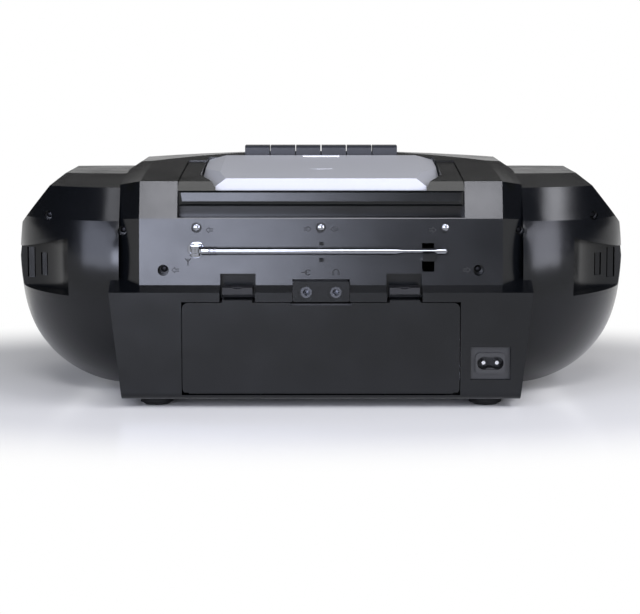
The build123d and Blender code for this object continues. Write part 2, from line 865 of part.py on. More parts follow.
# Laser pickup on its rails
with BuildPart() as laser_pickup:
    slab((-rail_x - 3.2, rail_x + 3.2), (lens_y - 8, lens_y + 8), (rail_z - 2.5, rail_z + 2.5))
    for x in (-rail_x, rail_x):
        rod_y(x, rail_z, lens_y - 9, lens_y + 9, rail_radius + running_fit, Mode.SUBTRACT)
    slab((-8, 8), (lens_y - 7, lens_y + 7), (rail_z + 2, rail_z + 4.5))
    rod_z(0, lens_y, rail_z + 4, rail_z + 6.4, 4)
laser_pickup.part.label = "laser_pickup"
export_step(laser_pickup.part, "parts/laser_pickup.step")

# Carrying handle: two arms, and a bar across the back that is seated on their ends
with BuildPart() as handle:
    for side in (-1, 1):
        with BuildSketch(side_plane(side * handle_half)):
            with BuildLine():
                pivot_y, pivot_z = handle_pivot
                ThreePointArc(
                    (pivot_y, pivot_z + handle_eye),
                    (pivot_y - handle_eye, pivot_z),
                    (pivot_y, pivot_z - handle_eye),
                )
                Polyline(
                    (pivot_y, pivot_z - handle_eye),
                    (recess_wall_y, recess_floor_z + 0.6),
                    (bar_front_y, bar_bottom_z + 3),
                    (bar_back_y - 3, bar_bottom_z + 3),
                    (bar_back_y - 3, bar_top_z - 0.5),
                    (recess_wall_y + 6, deck_z(recess_wall_y + 6) - 0.3),
                    (pivot_y, pivot_z + handle_eye),
                )
            make_face()
        extrude(amount=-side * (handle_half - lid_rear_half))
    with BuildSketch(Plane.XY.offset(recess_floor_z - 10)):
        Polygon(*lid_outline, align=None)
        offset(amount=handle_lid_gap, kind=Kind.INTERSECTION)
    extrude(amount=40, mode=Mode.SUBTRACT)
    with BuildSketch(side_plane(0)) as bar:
        Polygon(
            (bar_front_y, bar_bottom_z),
            (bar_back_y, bar_bottom_z),
            (bar_back_y - bar_lean, bar_top_z - 1.2),
            (bar_back_y - bar_lean - 1.4, bar_top_z),
            (bar_front_y, bar_top_z),
            align=None,
        )
        fillet(bar.vertices().sort_by(Axis.X)[-1], bar_round)
    extrude(amount=handle_half, both=True)
    with BuildSketch(Plane.XY.offset(bar_bottom_z - 10)) as plan:
        with Locations((0, bar_back_y - 100)):
            Rectangle(2 * handle_half, 200)
        fillet(plan.vertices().group_by(Axis.Y)[-1], handle_corner)
    extrude(amount=60, mode=Mode.INTERSECT)
    slab(
        (-handle_half, handle_half),
        (bar_front_y - seat_fit, bar_front_y),
        (bar_bottom_z - 10, bar_top_z + 10),
        Mode.SUBTRACT,
    )
    for side in (-1, 1):
        rod_x(
            *handle_pivot,
            *sorted((side * (handle_inner - 2), side * (handle_half + 2))),
            handle_pin + running_fit,
            Mode.SUBTRACT,
        )
handle.part.label = "handle"
export_step(handle.part, "parts/handle.step")

# Steel pins that the handle turns on
with BuildPart() as handle_pins:
    for side in (-1, 1):
        rod_x(
            *handle_pivot,
            *sorted((side * (handle_inner + 0.5), side * (recess_half + 3.4))),
            handle_pin,
        )
handle_pins.part.label = "handle_pins"
export_step(handle_pins.part, "parts/handle_pins.step")

# Battery door with the two plates that carry its latches
with BuildPart() as battery_door:
    with BuildSketch(back_plane(housing_y)):
        with Locations((0, (door_top + door_bottom) / 2)):
            RectangleRounded(2 * door_half, door_top - door_bottom, door_corner)
        with Locations((0, door_top)):
            Rectangle(2 * (panel_half + 1.3), 3.6, mode=Mode.SUBTRACT)
    extrude(amount=door_thick)
    slab((-door_half, door_half), (housing_y - 5, housing_y + 1), (0, door_hinge[1]), Mode.SUBTRACT)
    rod_x(*door_hinge, door_corner - door_half, door_half - door_corner, door_thick / 2)
    for side in (-1, 1):
        slab(
            (side * latch_x - latch_half, side * latch_x + latch_half),
            (latch_web_y - 1, housing_y),
            (door_top - 0.6, latch_root_z - 0.9),
        )
battery_door.part.label = "battery_door"
export_step(battery_door.part, "parts/battery_door.step")

# Sprung latches of the battery door
for name, side in (("left_door_latch", 1), ("right_door_latch", -1)):
    with BuildPart() as door_latch:
        x = side * latch_x
        rod_x(latch_web_y, latch_root_z, x - latch_half, x + latch_half, 0.8)
        slab(
            (x - latch_half, x + latch_half),
            (latch_web_y - 0.8, latch_web_y + 0.8),
            (latch_root_z, latch_top),
        )
        with BuildSketch(side_plane(x)):
            Polygon(
                (latch_web_y - 0.8, latch_top - 1.6),
                (latch_web_y - 0.8, latch_top),
                (housing_y - 3.5, latch_top - 0.4),
                (housing_y - 2.0, latch_top - 4.6),
                (housing_y - 3.6, latch_top - 4.8),
                (housing_y - 4.8, latch_top - 1.9),
                align=None,
            )
        extrude(amount=latch_half, both=True)
        rod_y(x, latch_top + 7, housing_y - 7.5, housing_y, 8.2, Mode.SUBTRACT)
    door_latch.part.label = name
    export_step(door_latch.part, f"parts/{name}.step")

# Tray with cradles for two rows of three C cells
tray_half = cells_in_row * cell_length / 2 + 4.0
cell_zs = [tray_middle_z - cell_width / 2 - 0.5, tray_middle_z + cell_width / 2 + 0.5]
cell_y = housing_y - door_thick - 1.6 - cell_width / 2
tray_rim_y = housing_y - door_thick - 1.2
tray_bottom_z = tray_middle_z - cell_width - 2.5
with BuildPart() as battery_box:
    slab(
        (-tray_half - tray_wall, tray_half + tray_wall),
        (cell_y - cell_width / 2 - tray_wall - 0.5, tray_rim_y),
        (tray_bottom_z, tray_middle_z + cell_width + 2.5),
    )
    slab(
        (-tray_half - 7, tray_half + 7),
        (tray_rim_y - tray_wall, tray_rim_y),
        (tray_bottom_z, tray_middle_z + cell_width + 2.5),
    )
    for x in (-40, 40):
        slab((x - 1, x + 1), (cell_y - 9, cell_y + 11), (cabinet_bottom + wall, tray_bottom_z + 1))
    for z in cell_zs:
        rod_x(cell_y, z, -tray_half, tray_half, cell_width / 2 + 0.5, Mode.SUBTRACT)
        slab(
            (-tray_half, tray_half), (cell_y, housing_y + 1),
            (z - cell_width / 2 - 0.5, z + cell_width / 2 + 0.5), Mode.SUBTRACT,
        )
battery_box.part.label = "battery_box"
export_step(battery_box.part, "parts/battery_box.step")

# Sprung contact plates at the ends of the battery rows
with BuildPart() as battery_contacts:
    for z in cell_zs:
        for side in (-1, 1):
            x = side * (tray_half - 0.4)
            slab((x - 0.4, x + 0.4), (cell_y - 8, cell_y + 8), (z - 8, z + 8))
            rod_x(cell_y, z, *sorted((x, x - side * 2.4)), 4.0)
battery_contacts.part.label = "battery_contacts"
export_step(battery_contacts.part, "parts/battery_contacts.step")

# Panel that carries the two jack sockets
with BuildPart() as jack_panel:
    with BuildSketch(back_plane(housing_y - 1)):
        with Locations((0, (panel_bottom + panel_top) / 2)):
            RectangleRounded(2 * panel_half, panel_top - panel_bottom, 1.5)
    extrude(amount=housing_y - 1 - panel_front_y)
    slab(
        (-panel_half + 1.6, panel_half - 1.6), (panel_front_y - 1, housing_y - 3.5),
        (panel_bottom + 1.6, panel_top - 1.6), Mode.SUBTRACT,
    )
    for x in (-jack_x, jack_x):
        ring_groove(x, jack_z, housing_y - 1, jack_ring / 2, 0.8)
        rod_y(x, jack_z, housing_y - 6, housing_y, jack_bush / 2 + seat_gap / 2, Mode.SUBTRACT)
jack_panel.part.label = "jack_panel"
export_step(jack_panel.part, "parts/jack_panel.step")

# Jack sockets: a bush with its bore and a body behind the panel
for name, x in (("aux_jack", jack_x), ("headphone_jack", -jack_x)):
    with BuildPart() as jack:
        rod_y(x, jack_z, housing_y - 6, housing_y - 1.4, jack_bush / 2)
        slab((x - 5.5, x + 5.5), (panel_front_y + 1, housing_y - 3.7), (jack_z - 4.3, jack_z + 4.9))
        rod_y(x, jack_z, housing_y - jack_depth, housing_y, jack_plug / 2 + 0.1, Mode.SUBTRACT)
        chamfer(jack.faces().sort_by(Axis.Y)[-1].inner_wires()[0].edges(), 0.3)
    jack.part.label = name
    export_step(jack.part, f"parts/{name}.step")

# Mains inlet with its figure-eight well, and its two pins
with BuildPart() as mains_inlet:
    slab(
        (inlet_x - inlet_half + seat_gap, inlet_x + inlet_half - seat_gap),
        (inlet_back_y, housing_y - 3),
        (inlet_z - inlet_tall + seat_gap, inlet_z + inlet_tall - seat_gap),
    )
    with BuildSketch(back_plane(housing_y - 3)):
        with Locations((inlet_x, inlet_z)):
            RectangleRounded(19.2, 13.4, 3)
            SlotCenterToCenter(pin_pitch, 8.3, mode=Mode.SUBTRACT)
    extrude(amount=-2)
    with BuildSketch(back_plane(housing_y)):
        with Locations((inlet_x - pin_pitch / 2, inlet_z), (inlet_x + pin_pitch / 2, inlet_z)):
            Circle(4.15)
        with Locations((inlet_x, inlet_z)):
            Rectangle(pin_pitch, 6.6)
    extrude(amount=inlet_depth, mode=Mode.SUBTRACT)
    for x in (inlet_x - pin_pitch / 2, inlet_x + pin_pitch / 2):
        rod_y(x, inlet_z, inlet_back_y - 1, housing_y, pin_tail, Mode.SUBTRACT)
mains_inlet.part.label = "mains_inlet"
export_step(mains_inlet.part, "parts/mains_inlet.step")
with BuildPart() as inlet_pins:
    for x in (inlet_x - pin_pitch / 2, inlet_x + pin_pitch / 2):
        rod_y(x, inlet_z, inlet_back_y - 4, housing_y - inlet_depth + 1, pin_tail)
        rod_y(x, inlet_z, housing_y - inlet_depth, housing_y - 3.6, pin_radius)
inlet_pins.part.label = "inlet_pins"
export_step(inlet_pins.part, "parts/inlet_pins.step")

# Mains transformer on the floor of the cabinet
with BuildPart() as transformer:
    floor_z = cabinet_bottom + wall
    slab((-125, -83), (30, 46), (floor_z, floor_z + 36))
    slab((-118, -90), (24, 52), (floor_z + 7, floor_z + 29))
    slab((-128, -80), (30, 46), (floor_z, floor_z + 1.5))
transformer.part.label = "transformer"
export_step(transformer.part, "parts/transformer.step")

# Main circuit board with its heat sink and capacitors
with BuildPart() as main_board:
    slab((-58, 80), (-2, 76), (board_z, board_z + 1.6))
    slab((30, 66), (62, 66), (board_z + 1, board_z + 26))
    for fin in range(6):
        x = 32 + fin * 6.4
        slab((x, x + 1.6), (54, 63), (board_z + 1, board_z + 26))
    for x in (-40, -22):
        rod_z(x, 50, board_z + 1, board_z + 24, 7)
    slab((-10, 18), (22, 36), (board_z + 1, board_z + 4.5))
main_board.part.label = "main_board"
export_step(main_board.part, "parts/main_board.step")

# Loudspeakers with their trim rings and slotted grilles
for hand, side in (("left", 1), ("right", -1)):
    x = side * speaker_x
    with BuildPart() as speaker:
        with BuildSketch(Plane.XY.offset(speaker_z)):
            back = bezel_y + wall
            Polygon(
                (x, back + 12),
                (x + 9, back + 13.5),
                (x + 12, back + 15),
                (x + speaker_radius - 9, back + 3),
                (x + speaker_radius - 5, back + 1),
                (x + speaker_radius, back),
                (x + speaker_radius + 5, back),
                (x + speaker_radius + 5, back + 2),
                (x + speaker_radius - 5, back + 4),
                (x + magnet_radius + 4, back + 22),
                (x + magnet_radius, back + 24),
                (x + magnet_radius, back + 38),
                (x, back + 38),
                align=None,
            )
        revolve(axis=Axis((x, 0, speaker_z), (0, 1, 0)))
    speaker.part.label = f"{hand}_speaker"
    export_step(speaker.part, f"parts/{hand}_speaker.step")
    with BuildPart() as trim:
        rod_y(x, speaker_z, trim_y, bezel_y, bezel_radius)
        rod_y(x, speaker_z, trim_y - 1, bezel_y + 1, grille_radius + 1.5, Mode.SUBTRACT)
        chamfer(trim.faces().sort_by(Axis.Y)[0].outer_wire().edges(), 2.2)
    trim.part.label = f"{hand}_speaker_trim"
    export_step(trim.part, f"parts/{hand}_speaker_trim.step")
    with BuildPart() as grille:
        rod_y(x, speaker_z, bezel_y - 1.4, bezel_y, grille_radius + 1.5 - seat_gap)
        rod_y(x, speaker_z, bezel_y - 0.1, bezel_y + 1.2, grille_radius - seat_gap)
        for row in range(-grille_rows, grille_rows + 1):
            z = row * grille_pitch
            half = sqrt(grille_radius ** 2 - z ** 2) - 5
            slab(
                (x - half, x + half), (bezel_y - 2, bezel_y + 2),
                (speaker_z + z - 1.7, speaker_z + z + 1.7), Mode.SUBTRACT,
            )
    grille.part.label = f"{hand}_speaker_grille"
    export_step(grille.part, f"parts/{hand}_speaker_grille.step")

# Cassette door, hinged at its foot, and its window
door_low = bay_bottom + 1.0
door_high = bay_top - 0.5
window_zs = (48.0, 76.0)
with BuildPart() as cassette_door:
    door_face = front_y - 2.5
    slab(
        (-bay_half + moving_gap, bay_half - moving_gap),
        (door_face, door_face + tape_door_thick),
        (door_low, door_high),
    )
    fillet(cassette_door.edges().filter_by(Axis.Y), 3)
    for side in (-1, 1):
        slab(
            (side * 52.5 - 0.9, side * 52.5 + 0.9),
            (door_face + tape_door_thick - 0.5, front_y + 13),
            (door_low + 4, door_high - 8),
        )
        rod_x(
            *tape_hinge,
            *sorted((side * (bay_half - 4), side * (bay_half + 1.4))),
            1.25 - running_fit,
        )
    slab((-33, 33), (door_face - 1, door_face + 9), window_zs, Mode.SUBTRACT)
cassette_door.part.label = "cassette_door"
export_step(cassette_door.part, "parts/cassette_door.step")
with BuildPart() as cassette_window:
    slab(
        (-33 + seat_gap, 33 - seat_gap), (door_face + 0.4, door_face + 2.4),
        (window_zs[0] + seat_gap, window_zs[1] - seat_gap),
    )
cassette_window.part.label = "cassette_window"
export_step(cassette_window.part, "parts/cassette_window.step")

# Frame of the cassette deck with the rod that the keys turn on
with BuildPart() as tape_deck:
    slab((-bay_half - 1.8, bay_half + 1.8), (bay_y, bay_y + 2), (bay_bottom - 1.8, bay_top + 1.8))
    for side in (-1, 1):
        slab(
            (side * (key_field + 1.6) - 1, side * (key_field + 1.6) + 1),
            (bay_y, key_pivot[0] + 3.5),
            (bay_top - 20, key_pivot[1] + 3),
        )
        rod_y(side * reel_x, reel_z, bay_y - 1, bay_y + 3, 1.5 + running_fit, Mode.SUBTRACT)
    rod_x(*key_pivot, -key_field - 2, key_field + 2, key_rod)
    rod_y(capstan_x, capstan_z, bay_y - 1, bay_y + 3, 1.2 + running_fit, Mode.SUBTRACT)
tape_deck.part.label = "tape_deck"
export_step(tape_deck.part, "parts/tape_deck.step")

# Six piano keys
key_names = ["pause_key", "stop_key", "forward_key", "rewind_key", "play_key", "record_key"]
for index, name in enumerate(key_names):
    x = ((key_count - 1) / 2 - index) * key_pitch
    with BuildPart() as key:
        with BuildSketch(side_plane(x)):
            Polygon(
                (key_front_y, key_cap_z),
                (key_front_y, key_top_z - 1.3),
                (key_front_y + 1.5, key_top_z),
                (key_back_y - 1.5, key_top_z),
                (key_back_y, key_top_z - 1.3),
                (key_back_y, key_pivot[1] + 5),
                (key_pivot[0] + 2.8, key_pivot[1] + 2.5),
                (key_pivot[0] + 2.8, key_pivot[1] - 2.5),
                (key_pivot[0] - 2.8, key_pivot[1] - 2.5),
                (key_back_y - 4, key_pivot[1] + 5),
                (key_back_y - 4, key_cap_z),
                align=None,
            )
        extrude(amount=(key_pitch - key_gap) / 2, both=True)
        rod_x(*key_pivot, x - 10, x + 10, key_rod + running_fit, Mode.SUBTRACT)
    key.part.label = name
    export_step(key.part, f"parts/{name}.step")

# Reel drives, capstan with its flywheel, head and pinch roller
for name, x in (("supply_reel", reel_x), ("take_up_reel", -reel_x)):
    with BuildPart() as reel:
        rod_y(x, reel_z, bay_y - 2.0, bay_y - moving_gap, 9)
        rod_y(x, reel_z, bay_y - 16, bay_y - 1, 3.0)
        for turn in range(3):
            with BuildSketch(back_plane(bay_y - 2)):
                with Locations((x, reel_z)):
                    with PolarLocations(3.0, 1, start_angle=turn * 120):
                        Rectangle(2.6, 1.4)
            extrude(amount=12)
        rod_y(x, reel_z, bay_y - 1, bay_y + 5, 1.5)
    reel.part.label = name
    export_step(reel.part, f"parts/{name}.step")
with BuildPart() as capstan:
    rod_y(capstan_x, capstan_z, bay_y - 16, bay_y + 6, 1.2)
    rod_y(capstan_x, capstan_z, bay_y + 4, bay_y + 10, flywheel_radius)
capstan.part.label = "capstan"
export_step(capstan.part, "parts/capstan.step")
with BuildPart() as tape_head:
    slab((-20, 33), (bay_y - 2.3, bay_y - 0.3), (capstan_z + 6, bay_top - 1))
    slab((-7, 7), (bay_y - 16, bay_y - 2), (bay_top - 8.5, bay_top - 1))
    rod_y(capstan_x, pinch_z, bay_y - 15, bay_y - 2, 1.0)
tape_head.part.label = "tape_head"
export_step(tape_head.part, "parts/tape_head.step")
with BuildPart() as pinch_roller:
    rod_y(capstan_x, pinch_z, bay_y - 14, bay_y - 5, pinch_radius)
    rod_y(capstan_x, pinch_z, bay_y - 16, bay_y - 2, 1.0 + running_fit, Mode.SUBTRACT)
pinch_roller.part.label = "pinch_roller"
export_step(pinch_roller.part, "parts/pinch_roller.step")
with BuildPart() as tape_motor:
    rod_y(-30, capstan_z - 2, bay_y + 2, bay_y + 24, 13)
tape_motor.part.label = "tape_motor"
export_step(tape_motor.part, "parts/tape_motor.step")

# Display window, knobs and buttons on the front
with BuildPart() as display_window:
    slab(
        (-window_half + seat_gap, window_half - seat_gap), (front_y - 1.0, front_y + wall),
        (window_bottom + seat_gap, window_top - seat_gap),
    )
    slab(
        (-window_half - 2, window_half + 2), (front_y + wall, front_y + wall + 1.5),
        (window_bottom - 2, window_top + 2),
    )
display_window.part.label = "display_window"
export_step(display_window.part, "parts/display_window.step")
for name, x in (("volume_knob", knob_x), ("tuning_knob", -knob_x)):
    with BuildPart() as knob:
        rod_y(x, knob_z, front_y - 13, front_y - moving_gap, knob_radius)
        chamfer(knob.faces().sort_by(Axis.Y)[0].edges(), 1.0)
        slab((x - 0.6, x + 0.6), (front_y - 14, front_y - 12), (knob_z + 3, knob_z + 11), Mode.SUBTRACT)
        rod_y(x, knob_z, front_y - 1, front_y + 10, knob_shaft)
    knob.part.label = name
    export_step(knob.part, f"parts/{name}.step")
button_names = ["skip_back_button", "disc_play_button", "disc_stop_button", "skip_on_button"]
for index, name in enumerate(button_names):
    x = (index - (button_count - 1) / 2) * button_pitch
    with BuildPart() as button:
        slab(
            (x - button_half, x + button_half), (front_y - 2.2, front_y + wall + 0.5),
            (button_z - button_tall, button_z + button_tall),
        )
        slab(
            (x - button_half - 1.2, x + button_half + 1.2),
            (front_y + wall + 0.1, front_y + wall + 1.3),
            (button_z - button_tall - 1.2, button_z + button_tall + 1.2),
        )
    button.part.label = name
    export_step(button.part, f"parts/{name}.step")

# Telescopic antenna: turning base, knuckle and four tubes, all stowed along the back
with BuildPart() as antenna_base:
    rod_y(antenna_x, antenna_z, back_y - 6.8, back_y - 3.4, antenna_cup - running_fit)
    rod_y(antenna_x, antenna_z, back_y - 4, antenna_y - 3.5, 3.2)
    for side in (-1, 1):
        slab(
            (antenna_x - 3.2, antenna_x + 3.2),
            (antenna_y - 6, antenna_y),
            sorted((antenna_z + side * 1.35, antenna_z + side * 3.2)),
        )
        rod_z(
            antenna_x, antenna_y,
            *sorted((antenna_z + side * 1.35, antenna_z + side * 3.2)), 3.2,
        )
    rod_z(antenna_x, antenna_y, antenna_z - 2, antenna_z + 2, 0.8)
antenna_base.part.label = "antenna_base"
export_step(antenna_base.part, "parts/antenna_base.step")
with BuildPart() as antenna_knuckle:
    rod_z(antenna_x, antenna_y, antenna_z - 1.2, antenna_z + 1.2, 2.9)
    slab(
        (antenna_x - 6, antenna_x), (antenna_y - 1.6, antenna_y + 1.6),
        (antenna_z - 1.2, antenna_z + 1.2),
    )
    with Locations(((antenna_root + antenna_x - 4) / 2, antenna_y, antenna_z)):
        Cylinder(2.5, antenna_x - 4 - antenna_root, rotation=(0, 90, 0))
    rod_x(antenna_y, antenna_z, antenna_root - 6, antenna_root + 1, antenna_bores[0] - seat_fit)
    rod_z(
        antenna_x, antenna_y, antenna_z - 2, antenna_z + 2, 0.8 + running_fit, Mode.SUBTRACT
    )
antenna_knuckle.part.label = "antenna_knuckle"
export_step(antenna_knuckle.part, "parts/antenna_knuckle.step")
for index, radius in enumerate(antenna_radii):
    name = f"antenna_tube_{index + 1}"
    start = antenna_root - (0 if index == 0 else 6 + 2 * index)
    end = antenna_end - 1.6 * index
    with BuildPart() as tube:
        if index < 3:
            rod_x(antenna_y, antenna_z, end, start, radius)
            rod_x(antenna_y, antenna_z, end - 1, start + 1, antenna_bores[index], Mode.SUBTRACT)
        else:
            rod_x(antenna_y, antenna_z, antenna_tip + 3, start, radius)
            rod_x(antenna_y, antenna_z, antenna_tip, antenna_tip + 6.8, antenna_cap)
            chamfer(tube.faces().sort_by(Axis.X)[0].edges(), 0.8)
    tube.part.label = name
    export_step(tube.part, f"parts/{name}.step")

# Rubber feet with their studs
with BuildPart() as feet:
    for x, y in foot_places:
        rod_z(x, y, 0, cabinet_bottom, foot_radius)
        rod_z(x, y, cabinet_bottom - 1, cabinet_bottom + 1.2, foot_stud)
    chamfer(feet.edges().group_by(Axis.Z)[0], 2.4)
feet.part.label = "feet"
export_step(feet.part, "parts/feet.step")

# Bright screws under the handle, and the black screws deep in their wells
with BuildPart() as chrome_screws:
    for x in chrome_screw_places:
        rod_y(
            x, chrome_screw_z, chrome_surface_y - chrome_sink, chrome_surface_y - 0.7,
            chrome_screw_radius,
        )
        rod_y(x, chrome_screw_z, chrome_surface_y - 8, chrome_surface_y - 2, 1.25)
chrome_screws.part.label = "chrome_screws"
export_step(chrome_screws.part, "parts/chrome_screws.step")
with BuildPart() as case_screws:
    for x, z, y, radius in case_screw_places:
        rod_y(x, z, y - case_well_depth, y - case_well_depth + 1.6, case_screw_radius)
        rod_y(x, z, y - case_well_depth - 5, y - case_well_depth + 0.5, 1.45)
case_screws.part.label = "case_screws"
export_step(case_screws.part, "parts/case_screws.step")
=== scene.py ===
"""A portable disc and cassette player, seen from behind on a pale glossy floor."""
import json
import math
import bmesh
import bpy
from mathutils import Matrix, Vector


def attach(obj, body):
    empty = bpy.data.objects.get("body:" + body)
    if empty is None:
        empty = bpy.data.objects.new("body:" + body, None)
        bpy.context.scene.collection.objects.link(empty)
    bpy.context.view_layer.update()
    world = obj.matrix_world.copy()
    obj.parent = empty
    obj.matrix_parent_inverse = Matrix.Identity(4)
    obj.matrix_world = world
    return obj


MM = 0.001
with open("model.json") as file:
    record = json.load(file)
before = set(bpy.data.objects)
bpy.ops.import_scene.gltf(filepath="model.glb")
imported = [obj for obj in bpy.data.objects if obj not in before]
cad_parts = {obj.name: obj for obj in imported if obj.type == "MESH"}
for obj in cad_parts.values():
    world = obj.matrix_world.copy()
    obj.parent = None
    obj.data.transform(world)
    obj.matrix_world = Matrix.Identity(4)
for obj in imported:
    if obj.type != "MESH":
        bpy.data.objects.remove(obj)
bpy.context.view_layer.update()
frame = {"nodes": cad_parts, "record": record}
scene = bpy.context.scene
scene.view_settings.view_transform = "Standard"

# Places on the part that the small pieces sit on, in millimetres
panel_foot_y = 105.0
panel_foot_z = 75.0
panel_lean = 0.09
door_mark_y = 117.75
arrow_places = [
    (71.6, 113.8, False), (8.9, 114.4, True), (-8.9, 114.4, False), (-71.6, 113.8, True),
    (93.6, 88.1, False), (-93.6, 88.1, True),
]
aerial_icon = (85.6, 93.4)
phones_icon = (-9.6, 86.6)
line_in_icon = (9.6, 86.6)
chrome_places = [(-80.1, 100.55, 115.2), (0.0, 100.55, 115.2), (80.1, 100.55, 115.2)]
well_places = [(101.6, 93.3, 88.0), (128.9, 79.2, 112.3), (179.8, 55.5, 120.4)]
aerial_y = 112.0
aerial_z = 101.2
latch_x = 53.5
latch_lip_y = 115.9
latch_lip_z = 73.7
latch_lip_half = 8.8
key_pitch = 18.2
key_front_y = -80.0
key_icon_z = 155.4
button_pitch = 18.0
button_face_y = -102.2
button_z = 102.5
front_y = -100.0
knob_x = 58.0
knob_z = 120.0
knob_rib_radius = 9.95
knob_rib_ys = (-112.3, -101.4)
tick_radii = (12.2, 13.6)
display_z = 120.0
display_plate_y = -95.1
display_bar_y = -95.5
digit_tall = 9.0
digit_wide = 5.0
digit_lean = 0.12
bar_inset = 0.5
speaker_x = 142.0
speaker_z = 76.0
punched_sheet_y = -112.3
foot_x = 107.0
foot_ys = (95.0, -78.0)
foot_ring_radius = 10.4
foot_ring_heights = (1.8, 3.4)
cell_y = 100.9
spring_x = 78.2
spring_length = 3.2
spring_radius = 6.0
spring_taper = 2.4
lid_rear_y = 92.0
lid_rear_z = 145.9
lid_slope = 10.5 / 180.0
lid_ridge_ys = (-44.0, -41.6, -39.2)
lid_ridge_half = 13.0


def linear(code):
    """Turns an sRGB hex code into a linear colour."""
    parts = [int(code[i:i + 2], 16) / 255 for i in (1, 3, 5)]
    return [c / 12.92 if c <= 0.04045 else ((c + 0.055) / 1.055) ** 2.4 for c in parts] + [1.0]


def add_node(tree, kind, inputs=None, **settings):
    """Adds one node; inputs holds a value or another node's output for each socket's name."""
    made = tree.nodes.new(kind)
    for name, value in settings.items():
        setattr(made, name, value)
    for name, value in (inputs or {}).items():
        if isinstance(value, bpy.types.NodeSocket):
            tree.links.new(value, made.inputs[name])
        else:
            made.inputs[name].default_value = value
    return made


def new_material(name):
    """An empty material with its shader and a grid of object coordinates in millimetres."""
    made = bpy.data.materials.new(name)
    made.use_nodes = True
    tree = made.node_tree
    tree.nodes.clear()
    shader = add_node(tree, "ShaderNodeBsdfPrincipled")
    add_node(tree, "ShaderNodeOutputMaterial", {"Surface": shader.outputs["BSDF"]})
    place = add_node(tree, "ShaderNodeTexCoord").outputs["Object"]
    grid = add_node(tree, "ShaderNodeVectorMath", {0: place, "Scale": 1 / MM}, operation="SCALE")
    return made, tree, shader, grid.outputs["Vector"]


def set_shader(shader, **values):
    """Sets the shader's own sockets; an underscore in a name stands for a space."""
    for name, value in values.items():
        shader.inputs[name.replace("_", " ")].default_value = value


def moulded_abs(name, colour, gloss, grain_mm=0.45, grain_depth=0.010, specular=0.4):
    """Injection-moulded ABS: the spark-eroded tool leaves a fine grain and a satin sheen."""
    made, tree, shader, grid = new_material(name)
    grain = add_node(tree, "ShaderNodeTexNoise", {
        "Vector": grid, "Scale": 1 / grain_mm, "Detail": 2.0, "Roughness": 0.6,
    })
    cloud = add_node(tree, "ShaderNodeTexNoise", {
        "Vector": grid, "Scale": 0.035, "Detail": 3.0, "Roughness": 0.55,
    })
    tone = add_node(tree, "ShaderNodeMapRange", {
        "Value": cloud.outputs["Fac"], "From Min": 0.3, "From Max": 0.7,
        "To Min": gloss - 0.02, "To Max": gloss + 0.03,
    })
    shade = add_node(tree, "ShaderNodeMix", {
        "Factor": grain.outputs["Fac"],
        "A": [c * 0.85 for c in linear(colour)[:3]] + [1.0],
        "B": [c * 1.15 for c in linear(colour)[:3]] + [1.0],
    }, data_type="RGBA")
    bump = add_node(tree, "ShaderNodeBump", {
        "Height": grain.outputs["Fac"], "Strength": 0.5, "Distance": grain_depth * MM,
    })
    tree.links.new(shade.outputs["Result"], shader.inputs["Base Color"])
    tree.links.new(tone.outputs["Result"], shader.inputs["Roughness"])
    tree.links.new(bump.outputs["Normal"], shader.inputs["Normal"])
    set_shader(shader, IOR=1.53, Specular_IOR_Level=specular)
    return made


def metal(name, colour, gloss, scratch_mm=0.3, scratch_depth=0.002):
    """Plated or bare metal with the faint lines that polishing leaves along x."""
    made, tree, shader, grid = new_material(name)
    stretch = add_node(tree, "ShaderNodeMapping", {
        "Vector": grid, "Scale": (0.05, 1.0, 1.0),
    })
    lines = add_node(tree, "ShaderNodeTexNoise", {
        "Vector": stretch.outputs["Vector"], "Scale": 1 / scratch_mm, "Detail": 2.0,
    })
    bump = add_node(tree, "ShaderNodeBump", {
        "Height": lines.outputs["Fac"], "Strength": 0.4, "Distance": scratch_depth * MM,
    })
    tone = add_node(tree, "ShaderNodeMapRange", {
        "Value": lines.outputs["Fac"], "To Min": gloss * 0.8, "To Max": gloss * 1.25,
    })
    tree.links.new(tone.outputs["Result"], shader.inputs["Roughness"])
    tree.links.new(bump.outputs["Normal"], shader.inputs["Normal"])
    set_shader(shader, Base_Color=linear(colour), Metallic=1.0)
    return made


def silver_lacquer(name, colour, gloss):
    """Silver lacquer on plastic: fine aluminium flakes under a clear coat."""
    made, tree, shader, grid = new_material(name)
    flakes = add_node(tree, "ShaderNodeTexVoronoi", {"Vector": grid, "Scale": 1 / 0.35})
    glint = add_node(tree, "ShaderNodeMix", {
        "Factor": flakes.outputs["Distance"],
        "A": [c * 1.04 for c in linear(colour)[:3]] + [1.0],
        "B": [c * 0.94 for c in linear(colour)[:3]] + [1.0],
    }, data_type="RGBA")
    tree.links.new(glint.outputs["Result"], shader.inputs["Base Color"])
    set_shader(shader, Metallic=0.25, Roughness=gloss, Coat_Weight=0.6, Coat_Roughness=0.12)
    return made


def smoked_window(name):
    """Smoked clear acrylic, polished on both faces."""
    made, tree, shader, grid = new_material(name)
    haze = add_node(tree, "ShaderNodeTexNoise", {"Vector": grid, "Scale": 0.08, "Detail": 3.0})
    tone = add_node(tree, "ShaderNodeMapRange", {
        "Value": haze.outputs["Fac"], "To Min": 0.02, "To Max": 0.08,
    })
    tree.links.new(tone.outputs["Result"], shader.inputs["Roughness"])
    set_shader(shader, Base_Color=linear("#3a3d42"), Transmission_Weight=0.75, IOR=1.49)
    return made


